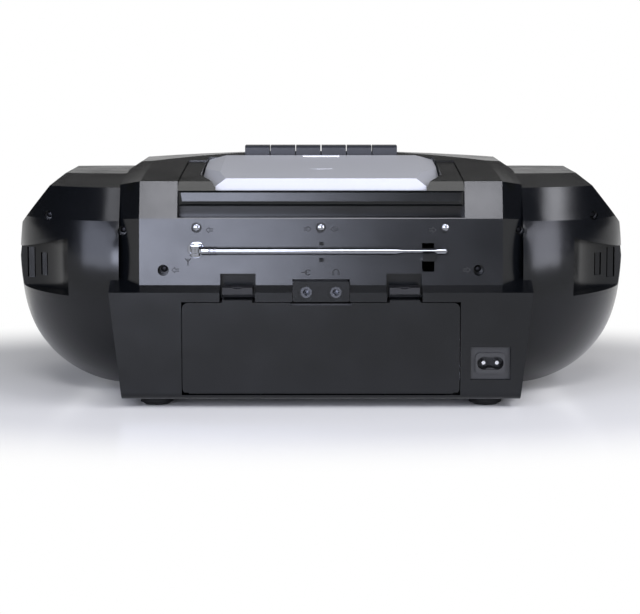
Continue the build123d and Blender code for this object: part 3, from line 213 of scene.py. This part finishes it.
def circuit_board(name):
    """Green solder mask over copper tracks, which show as paler lines."""
    made, tree, shader, grid = new_material(name)
    tracks = add_node(tree, "ShaderNodeTexBrick", {
        "Vector": grid, "Color1": linear("#0d4f2a"), "Color2": linear("#0f5a30"),
        "Mortar": linear("#2f8f55"), "Scale": 0.25, "Mortar Size": 0.02,
    })
    tree.links.new(tracks.outputs["Color"], shader.inputs["Base Color"])
    set_shader(shader, Roughness=0.35)
    return made


materials = {
    "black_case": moulded_abs("satin_black_moulded_abs", "#060709", 0.205, specular=0.24),
    "black_deck": moulded_abs("satin_black_deck_abs", "#060707", 0.18, specular=0.24),
    "silver_lid": silver_lacquer("silver_lacquer_lid", "#c2c3c8", 0.34),
    "grey_keys": moulded_abs("dark_grey_key_abs", "#212226", 0.45, specular=0.3),
    "black_inner": moulded_abs("black_inner_abs", "#0d0d0e", 0.5),
    "grille_metal": moulded_abs("black_lacquered_grille", "#101012", 0.4),
    "silver_trim": silver_lacquer("silver_lacquer_trim", "#b9bbc0", 0.3),
    "white_plastic": moulded_abs("natural_nylon", "#d8d6cc", 0.5),
    "turntable_black": moulded_abs("turntable_black_acetal", "#111113", 0.4),
    "window_glass": smoked_window("smoked_acrylic_window"),
    "bright_chrome": metal("chromed_brass", "#85878d", 0.10),
    "jack_metal": metal("nickel_plated_brass", "#4a4b4f", 0.25),
    "plain_steel": metal("bright_steel", "#b4b5b8", 0.3),
    "dark_screws": metal("blackened_steel", "#2a2a2c", 0.4),
    "board_green": circuit_board("green_circuit_board"),
    "foot_rubber": moulded_abs("black_foot_rubber", "#0e0e0f", 0.75, specular=0.2),
    "roller_rubber": moulded_abs("black_roller_rubber", "#0e0e0f", 0.7, specular=0.2),
    "pickup_black": moulded_abs("black_pickup_body", "#101114", 0.45),
    "matt_latch": moulded_abs("textured_latch_abs", "#0c0c0e", 0.55, specular=0.2),
    "display_grey": moulded_abs("grey_display_plate", "#8d958a", 0.35),
}
for part in frame["record"]["subparts"]:
    target = frame["nodes"][part["node"]]
    target.data.materials.clear()
    target.data.materials.append(materials[part["material_slot"]])
for latch in ("left_door_latch", "right_door_latch"):
    frame["nodes"][latch].data.materials[0] = materials["matt_latch"]


# The small pieces are each grown by a geometry tree from guide lines or points
def new_tree(name, sizes):
    """An empty geometry tree with a guide, named sizes and a material as its inputs."""
    tree = bpy.data.node_groups.new(name, "GeometryNodeTree")
    tree.interface.new_socket("Guide", in_out="INPUT", socket_type="NodeSocketGeometry")
    for size in sizes:
        tree.interface.new_socket(size, in_out="INPUT", socket_type="NodeSocketFloat")
    tree.interface.new_socket("Finish", in_out="INPUT", socket_type="NodeSocketMaterial")
    tree.interface.new_socket("Piece", in_out="OUTPUT", socket_type="NodeSocketGeometry")
    return tree, add_node(tree, "NodeGroupInput").outputs


def close_tree(tree, given, shape):
    """Ends a tree: plain geometry that carries its material."""
    plain = add_node(tree, "GeometryNodeRealizeInstances", {"Geometry": shape}).outputs["Geometry"]
    coloured = add_node(tree, "GeometryNodeSetMaterial", {
        "Geometry": plain, "Material": given["Finish"],
    }).outputs["Geometry"]
    add_node(tree, "NodeGroupOutput", {"Piece": coloured})
    return tree


def line_tree():
    """A round-backed bead along every guide line, for icons, springs, ribs and collars."""
    tree, given = new_tree("raised_lines", ["Width"])
    path = add_node(tree, "GeometryNodeMeshToCurve", {"Mesh": given["Guide"]}).outputs["Curve"]
    radius = add_node(tree, "ShaderNodeMath", {0: given["Width"], 1: 0.5}, operation="MULTIPLY")
    profile = add_node(tree, "GeometryNodeCurvePrimitiveCircle", {
        "Resolution": 8, "Radius": radius.outputs["Value"],
    }).outputs["Curve"]
    bead = add_node(tree, "GeometryNodeCurveToMesh", {
        "Curve": path, "Profile Curve": profile, "Fill Caps": True,
    }).outputs["Mesh"]
    smooth = add_node(tree, "GeometryNodeSetShadeSmooth", {"Geometry": bead}).outputs["Geometry"]
    return close_tree(tree, given, smooth)


def screw_tree():
    """A domed head with a cross recess on every guide point, each turned its own way."""
    tree, given = new_tree("screw_heads", ["Head Radius", "Dome Height", "Slot Width"])
    ball = add_node(tree, "GeometryNodeMeshUVSphere", {
        "Segments": 32, "Rings": 16, "Radius": given["Head Radius"],
    }).outputs["Mesh"]
    squash = add_node(tree, "ShaderNodeMath", {
        0: given["Dome Height"], 1: given["Head Radius"],
    }, operation="DIVIDE").outputs["Value"]
    flat = add_node(tree, "ShaderNodeCombineXYZ", {"X": 1.0, "Y": 1.0, "Z": squash})
    dome = add_node(tree, "GeometryNodeTransform", {
        "Geometry": ball, "Scale": flat.outputs["Vector"],
    }).outputs["Geometry"]
    arm = add_node(tree, "ShaderNodeMath", {
        0: given["Head Radius"], 1: 1.25,
    }, operation="MULTIPLY").outputs["Value"]
    depth = add_node(tree, "ShaderNodeMath", {
        0: given["Dome Height"], 1: 1.2,
    }, operation="MULTIPLY").outputs["Value"]
    lift = add_node(tree, "ShaderNodeCombineXYZ", {"Z": given["Dome Height"]}).outputs["Vector"]
    slots = add_node(tree, "GeometryNodeJoinGeometry").inputs["Geometry"]
    for names in (("X", "Y"), ("Y", "X")):
        size = add_node(tree, "ShaderNodeCombineXYZ", {
            names[0]: arm, names[1]: given["Slot Width"], "Z": depth,
        }).outputs["Vector"]
        bar = add_node(tree, "GeometryNodeMeshCube", {"Size": size}).outputs["Mesh"]
        raised = add_node(tree, "GeometryNodeTransform", {"Geometry": bar, "Translation": lift})
        tree.links.new(raised.outputs["Geometry"], slots)
    head = add_node(tree, "GeometryNodeMeshBoolean", {
        "Mesh 1": dome, "Mesh 2": slots.node.outputs["Geometry"],
    }, operation="DIFFERENCE").outputs["Mesh"]
    to_back = -math.pi / 2
    turn = add_node(tree, "FunctionNodeRandomValue", {
        "Min": (to_back, 0.0, 0.0), "Max": (to_back, math.pi / 2, 0.0), "Seed": 7,
    }, data_type="FLOAT_VECTOR").outputs["Value"]
    placed = add_node(tree, "GeometryNodeInstanceOnPoints", {
        "Points": given["Guide"], "Instance": head, "Rotation": turn,
    }).outputs["Instances"]
    return close_tree(tree, given, placed)


def sheet_tree():
    """Punched sheet: a round hole in each cell of a honeycomb, cut off at a radius."""
    tree, given = new_tree("perforated_sheet", ["Radius", "Pitch", "Hole Radius", "Thickness"])
    count = 41
    span = add_node(tree, "ShaderNodeMath", {
        0: given["Pitch"], 1: float(count - 1),
    }, operation="MULTIPLY").outputs["Value"]
    rise = add_node(tree, "ShaderNodeMath", {
        0: span, 1: math.sqrt(3) / 2,
    }, operation="MULTIPLY").outputs["Value"]
    grid = add_node(tree, "GeometryNodeMeshGrid", {
        "Size X": span, "Size Y": rise, "Vertices X": count, "Vertices Y": count,
    }).outputs["Mesh"]
    index = add_node(tree, "GeometryNodeInputIndex").outputs["Index"]
    row = add_node(tree, "ShaderNodeMath", {0: index, 1: float(count)}, operation="MODULO")
    odd = add_node(tree, "ShaderNodeMath", {0: row.outputs["Value"], 1: 2.0}, operation="MODULO")
    half = add_node(tree, "ShaderNodeMath", {
        0: given["Pitch"], 1: 0.5,
    }, operation="MULTIPLY").outputs["Value"]
    aside = add_node(tree, "ShaderNodeMath", {
        0: odd.outputs["Value"], 1: half,
    }, operation="MULTIPLY").outputs["Value"]
    offset = add_node(tree, "ShaderNodeCombineXYZ", {"X": aside}).outputs["Vector"]
    staggered = add_node(tree, "GeometryNodeSetPosition", {
        "Geometry": grid, "Offset": offset,
    }).outputs["Geometry"]
    place = add_node(tree, "GeometryNodeInputPosition").outputs["Position"]
    away = add_node(tree, "ShaderNodeVectorMath", {0: place}, operation="LENGTH").outputs["Value"]
    limit = add_node(tree, "ShaderNodeMath", {
        0: given["Radius"], 1: half,
    }, operation="SUBTRACT").outputs["Value"]
    outside = add_node(tree, "ShaderNodeMath", {0: away, 1: limit}, operation="GREATER_THAN")
    kept = add_node(tree, "GeometryNodeDeleteGeometry", {
        "Geometry": staggered, "Selection": outside.outputs["Value"],
    }, domain="POINT").outputs["Geometry"]
    corner = add_node(tree, "ShaderNodeMath", {
        0: given["Pitch"], 1: 1 / math.sqrt(3),
    }, operation="MULTIPLY").outputs["Value"]
    rim = add_node(tree, "GeometryNodeCurvePrimitiveCircle", {"Resolution": 6, "Radius": corner})
    turned = add_node(tree, "GeometryNodeTransform", {
        "Geometry": rim.outputs["Curve"], "Rotation": (0.0, 0.0, math.radians(30)),
    }).outputs["Geometry"]
    hole = add_node(tree, "GeometryNodeCurvePrimitiveCircle", {
        "Resolution": 10, "Radius": given["Hole Radius"],
    }).outputs["Curve"]
    edges = add_node(tree, "GeometryNodeJoinGeometry")
    tree.links.new(turned, edges.inputs["Geometry"])
    tree.links.new(hole, edges.inputs["Geometry"])
    cell = add_node(tree, "GeometryNodeFillCurve", {
        "Curve": edges.outputs["Geometry"],
    }).outputs["Mesh"]
    cells = add_node(tree, "GeometryNodeInstanceOnPoints", {
        "Points": kept, "Instance": cell,
    }).outputs["Instances"]
    flat = add_node(tree, "GeometryNodeRealizeInstances", {"Geometry": cells}).outputs["Geometry"]
    merged = add_node(tree, "GeometryNodeMergeByDistance", {
        "Geometry": flat, "Distance": 0.02 * MM,
    }).outputs["Geometry"]
    up = add_node(tree, "GeometryNodeExtrudeMesh", {
        "Mesh": merged, "Offset Scale": given["Thickness"], "Individual": False,
    }, mode="FACES").outputs["Mesh"]
    under = add_node(tree, "GeometryNodeFlipFaces", {"Mesh": merged}).outputs["Mesh"]
    both = add_node(tree, "GeometryNodeJoinGeometry")
    tree.links.new(up, both.inputs["Geometry"])
    tree.links.new(under, both.inputs["Geometry"])
    closed = add_node(tree, "GeometryNodeMergeByDistance", {
        "Geometry": both.outputs["Geometry"], "Distance": 0.02 * MM,
    }).outputs["Geometry"]
    stood = add_node(tree, "GeometryNodeTransform", {
        "Geometry": closed, "Rotation": (math.pi / 2, 0.0, 0.0),
    }).outputs["Geometry"]
    return close_tree(tree, given, stood)


trees = {"lines": line_tree(), "screws": screw_tree(), "sheet": sheet_tree()}


def guide(lines):
    """Joins lines of points in millimetres into a guide; a line is (points, closed)."""
    corners, edges = [], []
    for points, closed in lines:
        start = len(corners)
        corners += [[c * MM for c in point] for point in points]
        edges += [(start + i, start + i + 1) for i in range(len(points) - 1)]
        if closed:
            edges.append((len(corners) - 1, start))
    made = bpy.data.meshes.new("guide")
    made.from_pydata(corners, edges, [])
    return made


def grow(name, kind, lines, body, slot, sizes, shift=(0, 0, 0)):
    """Grows one piece on a guide, keeps it as a plain mesh and makes it ride on its body."""
    tree = trees[kind]
    piece = bpy.data.objects.new(name, guide(lines))
    scene.collection.objects.link(piece)
    step = piece.modifiers.new("grow", "NODES")
    step.node_group = tree
    given = {size: value * MM for size, value in sizes.items()}
    given["Finish"] = materials[slot]
    for socket in tree.interface.items_tree:
        if socket.in_out == "INPUT" and socket.name in given:
            step[socket.identifier] = given[socket.name]
    seen = bpy.context.evaluated_depsgraph_get()
    result = bpy.data.meshes.new_from_object(piece.evaluated_get(seen))
    piece.modifiers.clear()
    piece.data = result
    result.name = name
    result.transform(Matrix.Translation(Vector(shift) * MM))
    shell = bmesh.new()
    shell.from_mesh(result)
    bmesh.ops.recalc_face_normals(shell, faces=shell.faces)
    shell.to_mesh(result)
    shell.free()
    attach(piece, body)


def arc(middle, radius, start=0, stop=360, steps=24):
    """Points of an arc in a flat sketch; a whole circle leaves out its last point."""
    whole = stop - start == 360
    turns = [start + (stop - start) * i / steps for i in range(steps if whole else steps + 1)]
    points = []
    for turn in turns:
        across, up = math.cos(math.radians(turn)), math.sin(math.radians(turn))
        points.append((middle[0] + radius * across, middle[1] + radius * up))
    return points


def oblong(left, low, right, high):
    """The corners of an upright rectangle."""
    return [(left, low), (right, low), (right, high), (left, high)]


def pointer(x, heading=1):
    """A triangle that points to the right, as on a play key, or to the left for heading -1."""
    return [(heading * (x - 0.9), 1.2), (heading * (x + 1.0), 0), (heading * (x - 0.9), -1.2)]


block_arrow = [
    (2.2, 0.65), (-0.4, 0.65), (-0.4, 1.9), (-2.4, 0), (-0.4, -1.9), (-0.4, -0.65), (2.2, -0.65),
]


def on_back(sketch, middle, mirrored=False, depth=None):
    """Lays a sketch on the leaning back panel, or at a depth, as it reads from behind."""
    flip = 1 if mirrored else -1
    points = []
    for u, v in sketch:
        z = middle[1] + v
        y = panel_foot_y - (z - panel_foot_z) * panel_lean if depth is None else depth
        points.append((middle[0] + flip * u, y, z))
    return points


def on_front(sketch, middle, y):
    """Stands a sketch at a depth, as it reads from the front."""
    return [(middle[0] + u, y, middle[1] + v) for u, v in sketch]


# Marks moulded into the back: arrows to the screws, an aerial, and icons over the sockets
back_marks = []
for x, z, mirrored in arrow_places:
    back_marks.append((on_back(block_arrow, (x, z), mirrored), False))
aerial_strokes = [[(0, -2.4), (0, 2.0)], [(-1.8, 2.2), (0, -0.2), (1.8, 2.2)]]
for stroke in aerial_strokes:
    back_marks.append((on_back(stroke, aerial_icon), False))
phones = [arc((0, 0), 1.9, 0, 180), oblong(-2.4, -1.6, -1.4, 0.2), oblong(1.4, -1.6, 2.4, 0.2)]
for stroke, closed in zip(phones, (False, True, True)):
    back_marks.append((on_back(stroke, phones_icon), closed))
line_in = [arc((1.2, 0), 1.7, 30, 330), [(-3.2, 0), (0.9, 0)], [(0.0, 0.8), (0.9, 0), (0.0, -0.8)]]
for stroke in line_in:
    back_marks.append((on_back(stroke, line_in_icon), False))
grow("back_marks", "lines", back_marks, "cabinet", "black_inner", {"Width": 0.6})

# Faint arrows on the battery door, beside the latches
door_marks = []
for side in (1, -1):
    middle = (side * 54.6, 60.8)
    upright = oblong(-2.2, -3.4, 2.2, 4.4)
    door_marks.append((on_back(upright, middle, depth=door_mark_y), True))
    down = [(-2.2, 1.6), (0, -1.4), (2.2, 1.6)]
    door_marks.append((on_back(down, middle, depth=door_mark_y), False))
grow("door_marks", "lines", door_marks, "battery_door", "black_case", {"Width": 0.5})

# Screw heads: polished ones in the panel, blackened ones deep in their wells
grow("chrome_heads", "screws", [([place], False) for place in chrome_places], "cabinet",
     "bright_chrome", {"Head Radius": 2.35, "Dome Height": 0.8, "Slot Width": 0.7})
both_wells = [(side * x, y, z) for side in (-1, 1) for x, y, z in well_places]
grow("well_heads", "screws", [([place], False) for place in both_wells], "cabinet",
     "dark_screws", {"Head Radius": 2.15, "Dome Height": 0.7, "Slot Width": 0.7})


def around_aerial(x, radius):
    """A closed ring round the antenna."""
    return ([(x, aerial_y + u, aerial_z + v) for u, v in arc((0, 0), radius)], True)


# Aerial: two collars beside the joint, and the rolled lip at the end of each tube
collars = [around_aerial(71.2, 2.35), around_aerial(68.0, 2.35)]
grow("aerial_collars", "lines", collars, "antenna", "bright_chrome", {"Width": 1.2})
for name, x, radius, body, width in (
    ("aerial_lip_1", -48.2, 2.1, "antenna", 0.5),
    ("aerial_lip_2", -49.8, 1.75, "antenna_tube_2", 0.4),
    ("aerial_lip_3", -51.4, 1.4, "antenna_tube_3", 0.4),
):
    grow(name, "lines", [around_aerial(x, radius)], body, "bright_chrome", {"Width": width})

# Icons on the cassette keys and the disc buttons, as they read from the front
eject = [[(0.5, -0.4), (1.6, 1.1), (2.7, -0.4)], oblong(0.5, -1.1, 2.7, -0.8)]
key_icons = {
    "pause_key": [oblong(-1.3, -1.2, -0.5, 1.2), oblong(0.5, -1.2, 1.3, 1.2)],
    "stop_key": [oblong(-2.6, -1.1, -0.4, 1.1)] + eject,
    "forward_key": [pointer(-1.2), pointer(1.0)],
    "rewind_key": [pointer(-1.2, -1), pointer(1.0, -1)],
    "play_key": [pointer(0)],
    "record_key": [arc((0, 0), 1.25)],
}
for index, (key, strokes) in enumerate(key_icons.items()):
    middle = ((2.5 - index) * key_pitch, key_icon_z)
    marks = [(on_front(stroke, middle, key_front_y), True) for stroke in strokes]
    grow(key + "_icon", "lines", marks, key, "silver_trim", {"Width": 0.3})
pause_bars = [oblong(0.6, -1.2, 1.1, 1.2), oblong(1.8, -1.2, 2.3, 1.2)]
button_icons = {
    "skip_back_button": [pointer(-1.2, -1), pointer(1.0, -1), oblong(-2.5, -1.2, -2.2, 1.2)],
    "disc_play_button": [pointer(-1.2)] + pause_bars,
    "disc_stop_button": [oblong(-1.1, -1.1, 1.1, 1.1)],
    "skip_on_button": [pointer(-1.2), pointer(1.0), oblong(2.2, -1.2, 2.5, 1.2)],
}
for index, (button, strokes) in enumerate(button_icons.items()):
    middle = ((index - 1.5) * button_pitch, button_z)
    marks = [(on_front(stroke, middle, button_face_y), True) for stroke in strokes]
    grow(button + "_icon", "lines", marks, button, "black_inner", {"Width": 0.26})

# Display: a grey plate behind the window, with a track number and a time in bars
plate = bmesh.new()
bmesh.ops.create_cube(plate, size=1.0)
bmesh.ops.scale(plate, vec=(66 * MM, 0.8 * MM, 21 * MM), verts=plate.verts)
bmesh.ops.translate(plate, vec=(0, display_plate_y * MM, display_z * MM), verts=plate.verts)
bmesh.ops.bevel(plate, geom=plate.edges[:], offset=0.3 * MM, segments=2, affect="EDGES")
plate_mesh = bpy.data.meshes.new("display_plate")
plate.to_mesh(plate_mesh)
plate.free()
plate_mesh.materials.append(materials["display_grey"])
display_plate = bpy.data.objects.new("display_plate", plate_mesh)
scene.collection.objects.link(display_plate)
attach(display_plate, "cabinet")
top, half, wide = digit_tall, digit_tall / 2, digit_wide
bar_ends = {
    "a": ((0, top), (wide, top)), "b": ((wide, top), (wide, half)),
    "c": ((wide, half), (wide, 0)), "d": ((0, 0), (wide, 0)),
    "e": ((0, 0), (0, half)), "f": ((0, half), (0, top)), "g": ((0, half), (wide, half)),
}
bars_of = {"0": "abcdef", "3": "abcdg", "1": "bc", "2": "abged", "4": "fgbc", "7": "abc"}
display_bars = []
for left, digit in ((-28, "0"), (-19, "3"), (-5, "1"), (4, "2"), (16, "4"), (25, "7")):
    for bar in bars_of[digit]:
        start, stop = (Vector(end) for end in bar_ends[bar])
        along = (stop - start).normalized() * bar_inset
        ends = [start + along, stop - along]
        leaning = [(left + end.x + end.y * digit_lean, end.y - half) for end in ends]
        display_bars.append((on_front(leaning, (0, display_z), display_bar_y), False))
for v in (-2, 2):
    dot = [(12.3, v - 0.4), (12.4, v + 0.4)]
    display_bars.append((on_front(dot, (0, display_z), display_bar_y), False))
grow("display_bars", "lines", display_bars, "cabinet", "black_inner", {"Width": 0.9})

# Knobs: ribs round each rim, and a scale of ticks on the front around them
scale_ticks = []
for knob, x in (("volume_knob", knob_x), ("tuning_knob", -knob_x)):
    ribs = []
    for u, v in arc((0, 0), knob_rib_radius, steps=40):
        ribs.append(([(x + u, y, knob_z + v) for y in knob_rib_ys], False))
    grow(knob + "_ribs", "lines", ribs, knob, "silver_trim", {"Width": 0.6})
    inner, outer = (arc((0, 0), radius, -60, 240, 10) for radius in tick_radii)
    for near, far in zip(inner, outer):
        scale_ticks.append((on_front([near, far], (x, knob_z), front_y), False))
grow("scale_ticks", "lines", scale_ticks, "cabinet", "silver_trim", {"Width": 0.35})

# Rubber rings round the feet
foot_rings = []
for x in (-foot_x, foot_x):
    for y in foot_ys:
        for z in foot_ring_heights:
            ring = [(x + u, y + v, z) for u, v in arc((0, 0), foot_ring_radius)]
            foot_rings.append((ring, True))
grow("foot_rings", "lines", foot_rings, "cabinet", "foot_rubber", {"Width": 0.7})

# Cone springs at two of the battery contacts, with three turns each
springs = []
spring_steps = 72
for side, z in ((1, 52.5), (-1, 25.3)):
    coil = []
    for i in range(spring_steps + 1):
        part, turn = i / spring_steps, math.radians(i * 15)
        reach = spring_radius - spring_taper * part
        across, up = reach * math.cos(turn), reach * math.sin(turn)
        coil.append((side * (spring_x - spring_length * part), cell_y + across, z + up))
    springs.append((coil, False))
grow("contact_springs", "lines", springs, "cabinet", "plain_steel", {"Width": 0.8})

# A rounded lip along the finger tab of each door latch
for name, side in (("left_door_latch", 1), ("right_door_latch", -1)):
    x = side * latch_x
    lip = [(end, latch_lip_y, latch_lip_z) for end in (x - latch_lip_half, x + latch_lip_half)]
    grow(name + "_lip", "lines", [(lip, False)], name, "black_case", {"Width": 0.5})

# Punched metal behind the slots of the speaker grilles
for name, x in (("left_punched_sheet", speaker_x), ("right_punched_sheet", -speaker_x)):
    sizes = {"Radius": 52.5, "Pitch": 3.2, "Hole Radius": 1.1, "Thickness": 0.4}
    place = (x, punched_sheet_y, speaker_z)
    grow(name, "sheet", [([(0, 0, 0)], False)], "cabinet", "grille_metal", sizes, shift=place)

# Finger ridges on the front edge of the disc lid
ridges = []
for y in lid_ridge_ys:
    z = lid_rear_z + (lid_rear_y - y) * lid_slope
    ridges.append(([(-lid_ridge_half, y, z), (lid_ridge_half, y, z)], False))
grow("lid_ridges", "lines", ridges, "lid", "silver_lid", {"Width": 0.8})

# Camera: behind the object, 1.5 m away and 7 degrees above the level
camera_tilt = math.radians(7.0)
camera_reach = 1.5
photo_width = 640
aim = Vector((0, 0, 0.0514))
camera_data = bpy.data.cameras.new("camera")
camera_data.lens = 121.7
camera_data.shift_x = -1 / photo_width
camera = bpy.data.objects.new("camera", camera_data)
scene.collection.objects.link(camera)
away = Vector((0, math.cos(camera_tilt), math.sin(camera_tilt)))
camera.location = aim + away * camera_reach
camera.rotation_euler = (-away).to_track_quat("-Z", "Y").to_euler()
scene.camera = camera


lamp_middle = Vector((0, 0.1, 0.09))
lamp_distance = 1.9


def softbox(name, azimuth, elevation, size, radiance, colour="#ffffff"):
    """A rectangular studio lamp; azimuth runs from behind the object towards its left, +X."""
    turn, lift = math.radians(azimuth), math.radians(elevation)
    heading = Vector((
        math.sin(turn) * math.cos(lift), math.cos(turn) * math.cos(lift), math.sin(lift),
    ))
    data = bpy.data.lights.new(name, "AREA")
    data.shape = "RECTANGLE"
    data.size, data.size_y = size
    data.energy = radiance * math.pi * size[0] * size[1]
    data.color = linear(colour)[:3]
    lamp = bpy.data.objects.new(name, data)
    scene.collection.objects.link(lamp)
    lamp.location = lamp_middle + heading * lamp_distance
    lamp.rotation_euler = (-heading).to_track_quat("-Z", "Y").to_euler()


# The panel's box ends near the middle, which shades the back from left to right;
# two tall ones light the pods, and the high ones the bevels and the slanting facets
softbox("panel_left", 11.0, 6.8, (0.68, 0.44), 19.5, "#e3e9ff")
softbox("pod_left", 39.0, 15.0, (1.15, 1.20), 6.6, "#e3e9ff")
softbox("pod_right", -40.0, 15.0, (1.10, 1.20), 9, "#eef0ff")
softbox("top_back", 0.0, 36.5, (0.60, 0.42), 23, "#f6f7ff")
softbox("top_right", -70.0, 44.0, (0.90, 0.40), 13, "#f6f7ff")
softbox("top_left", 30.0, 52.0, (0.50, 0.36), 6, "#f6f7ff")
softbox("front_top", 180.0, 36.0, (1.40, 0.80), 1.4)

# Floor: white acrylic, glossy near the object, that runs into the white background
floor_mesh = bpy.data.meshes.new("floor")
floor_reach = 12.0
quarters = ((-1, -1), (1, -1), (1, 1), (-1, 1))
floor_corners = [(x * floor_reach, y * floor_reach, 0) for x, y in quarters]
floor_mesh.from_pydata(floor_corners, [], [(0, 1, 2, 3)])
floor = bpy.data.objects.new("floor", floor_mesh)
scene.collection.objects.link(floor)
floor_colour = "#edece9"
fade_start, fade_end = 190.0, 330.0
floor_paint, tree, shader, grid = new_material("white_acrylic_floor")
set_shader(shader, Base_Color=linear(floor_colour), Roughness=0.16, Specular_IOR_Level=0.5)
squeezed = add_node(tree, "ShaderNodeVectorMath", {
    0: grid, 1: (0.62, 1.0, 1.0),
}, operation="MULTIPLY")
distance = add_node(tree, "ShaderNodeVectorMath", {
    0: squeezed.outputs["Vector"],
}, operation="LENGTH")
fade = add_node(tree, "ShaderNodeMapRange", {
    "Value": distance.outputs["Value"], "From Min": fade_start, "From Max": fade_end,
}, interpolation_type="SMOOTHSTEP")
rays = add_node(tree, "ShaderNodeLightPath")
seen = add_node(tree, "ShaderNodeMath", {
    0: rays.outputs["Is Camera Ray"], 1: rays.outputs["Is Glossy Ray"],
}, operation="MAXIMUM")
seen = add_node(tree, "ShaderNodeMath", {
    0: seen.outputs["Value"], 1: rays.outputs["Is Transmission Ray"],
}, operation="MAXIMUM")
share = add_node(tree, "ShaderNodeMath", {
    0: seen.outputs["Value"], 1: fade.outputs["Result"],
}, operation="MULTIPLY")
white = add_node(tree, "ShaderNodeEmission", {"Strength": 1.0})
# Only the camera sees the gloss, so the low faces don't mirror the lamps in the floor
matt = add_node(tree, "ShaderNodeBsdfDiffuse", {"Color": linear(floor_colour)})
near = add_node(tree, "ShaderNodeMixShader", {
    "Fac": rays.outputs["Is Camera Ray"], 1: matt.outputs["BSDF"], 2: shader.outputs["BSDF"],
})
blend = add_node(tree, "ShaderNodeMixShader", {
    "Fac": share.outputs["Value"], 1: near.outputs["Shader"], 2: white.outputs["Emission"],
})
output = tree.nodes["Material Output"]
tree.links.new(blend.outputs["Shader"], output.inputs["Surface"])
floor_mesh.materials.append(floor_paint)

# World: white at the horizon as the background is, darker overhead as in a studio
ambient_level = 0.20
world = bpy.data.worlds.new("studio")
scene.world = world
world.use_nodes = True
sky = world.node_tree
sky.nodes.clear()
rays = add_node(sky, "ShaderNodeLightPath")
direction = add_node(sky, "ShaderNodeTexCoord").outputs["Generated"]
height = add_node(sky, "ShaderNodeSeparateXYZ", {"Vector": direction}).outputs["Z"]
dim = add_node(sky, "ShaderNodeMapRange", {
    "Value": height, "From Min": 0.06, "From Max": 0.12, "To Min": 1.0, "To Max": 0.04,
})
glossy = add_node(sky, "ShaderNodeMath", {
    0: rays.outputs["Is Glossy Ray"], 1: rays.outputs["Is Transmission Ray"],
}, operation="MAXIMUM")
ambient = add_node(sky, "ShaderNodeMix", {
    "Factor": glossy.outputs["Value"], "A": ambient_level, "B": dim.outputs["Result"],
}, data_type="FLOAT")
strength = add_node(sky, "ShaderNodeMix", {
    "Factor": rays.outputs["Is Camera Ray"], "A": ambient.outputs["Result"], "B": 1.0,
}, data_type="FLOAT")
glow = add_node(sky, "ShaderNodeBackground", {
    "Color": (1.0, 1.0, 1.0, 1.0), "Strength": strength.outputs["Result"],
})
add_node(sky, "ShaderNodeOutputWorld", {"Surface": glow.outputs["Background"]})
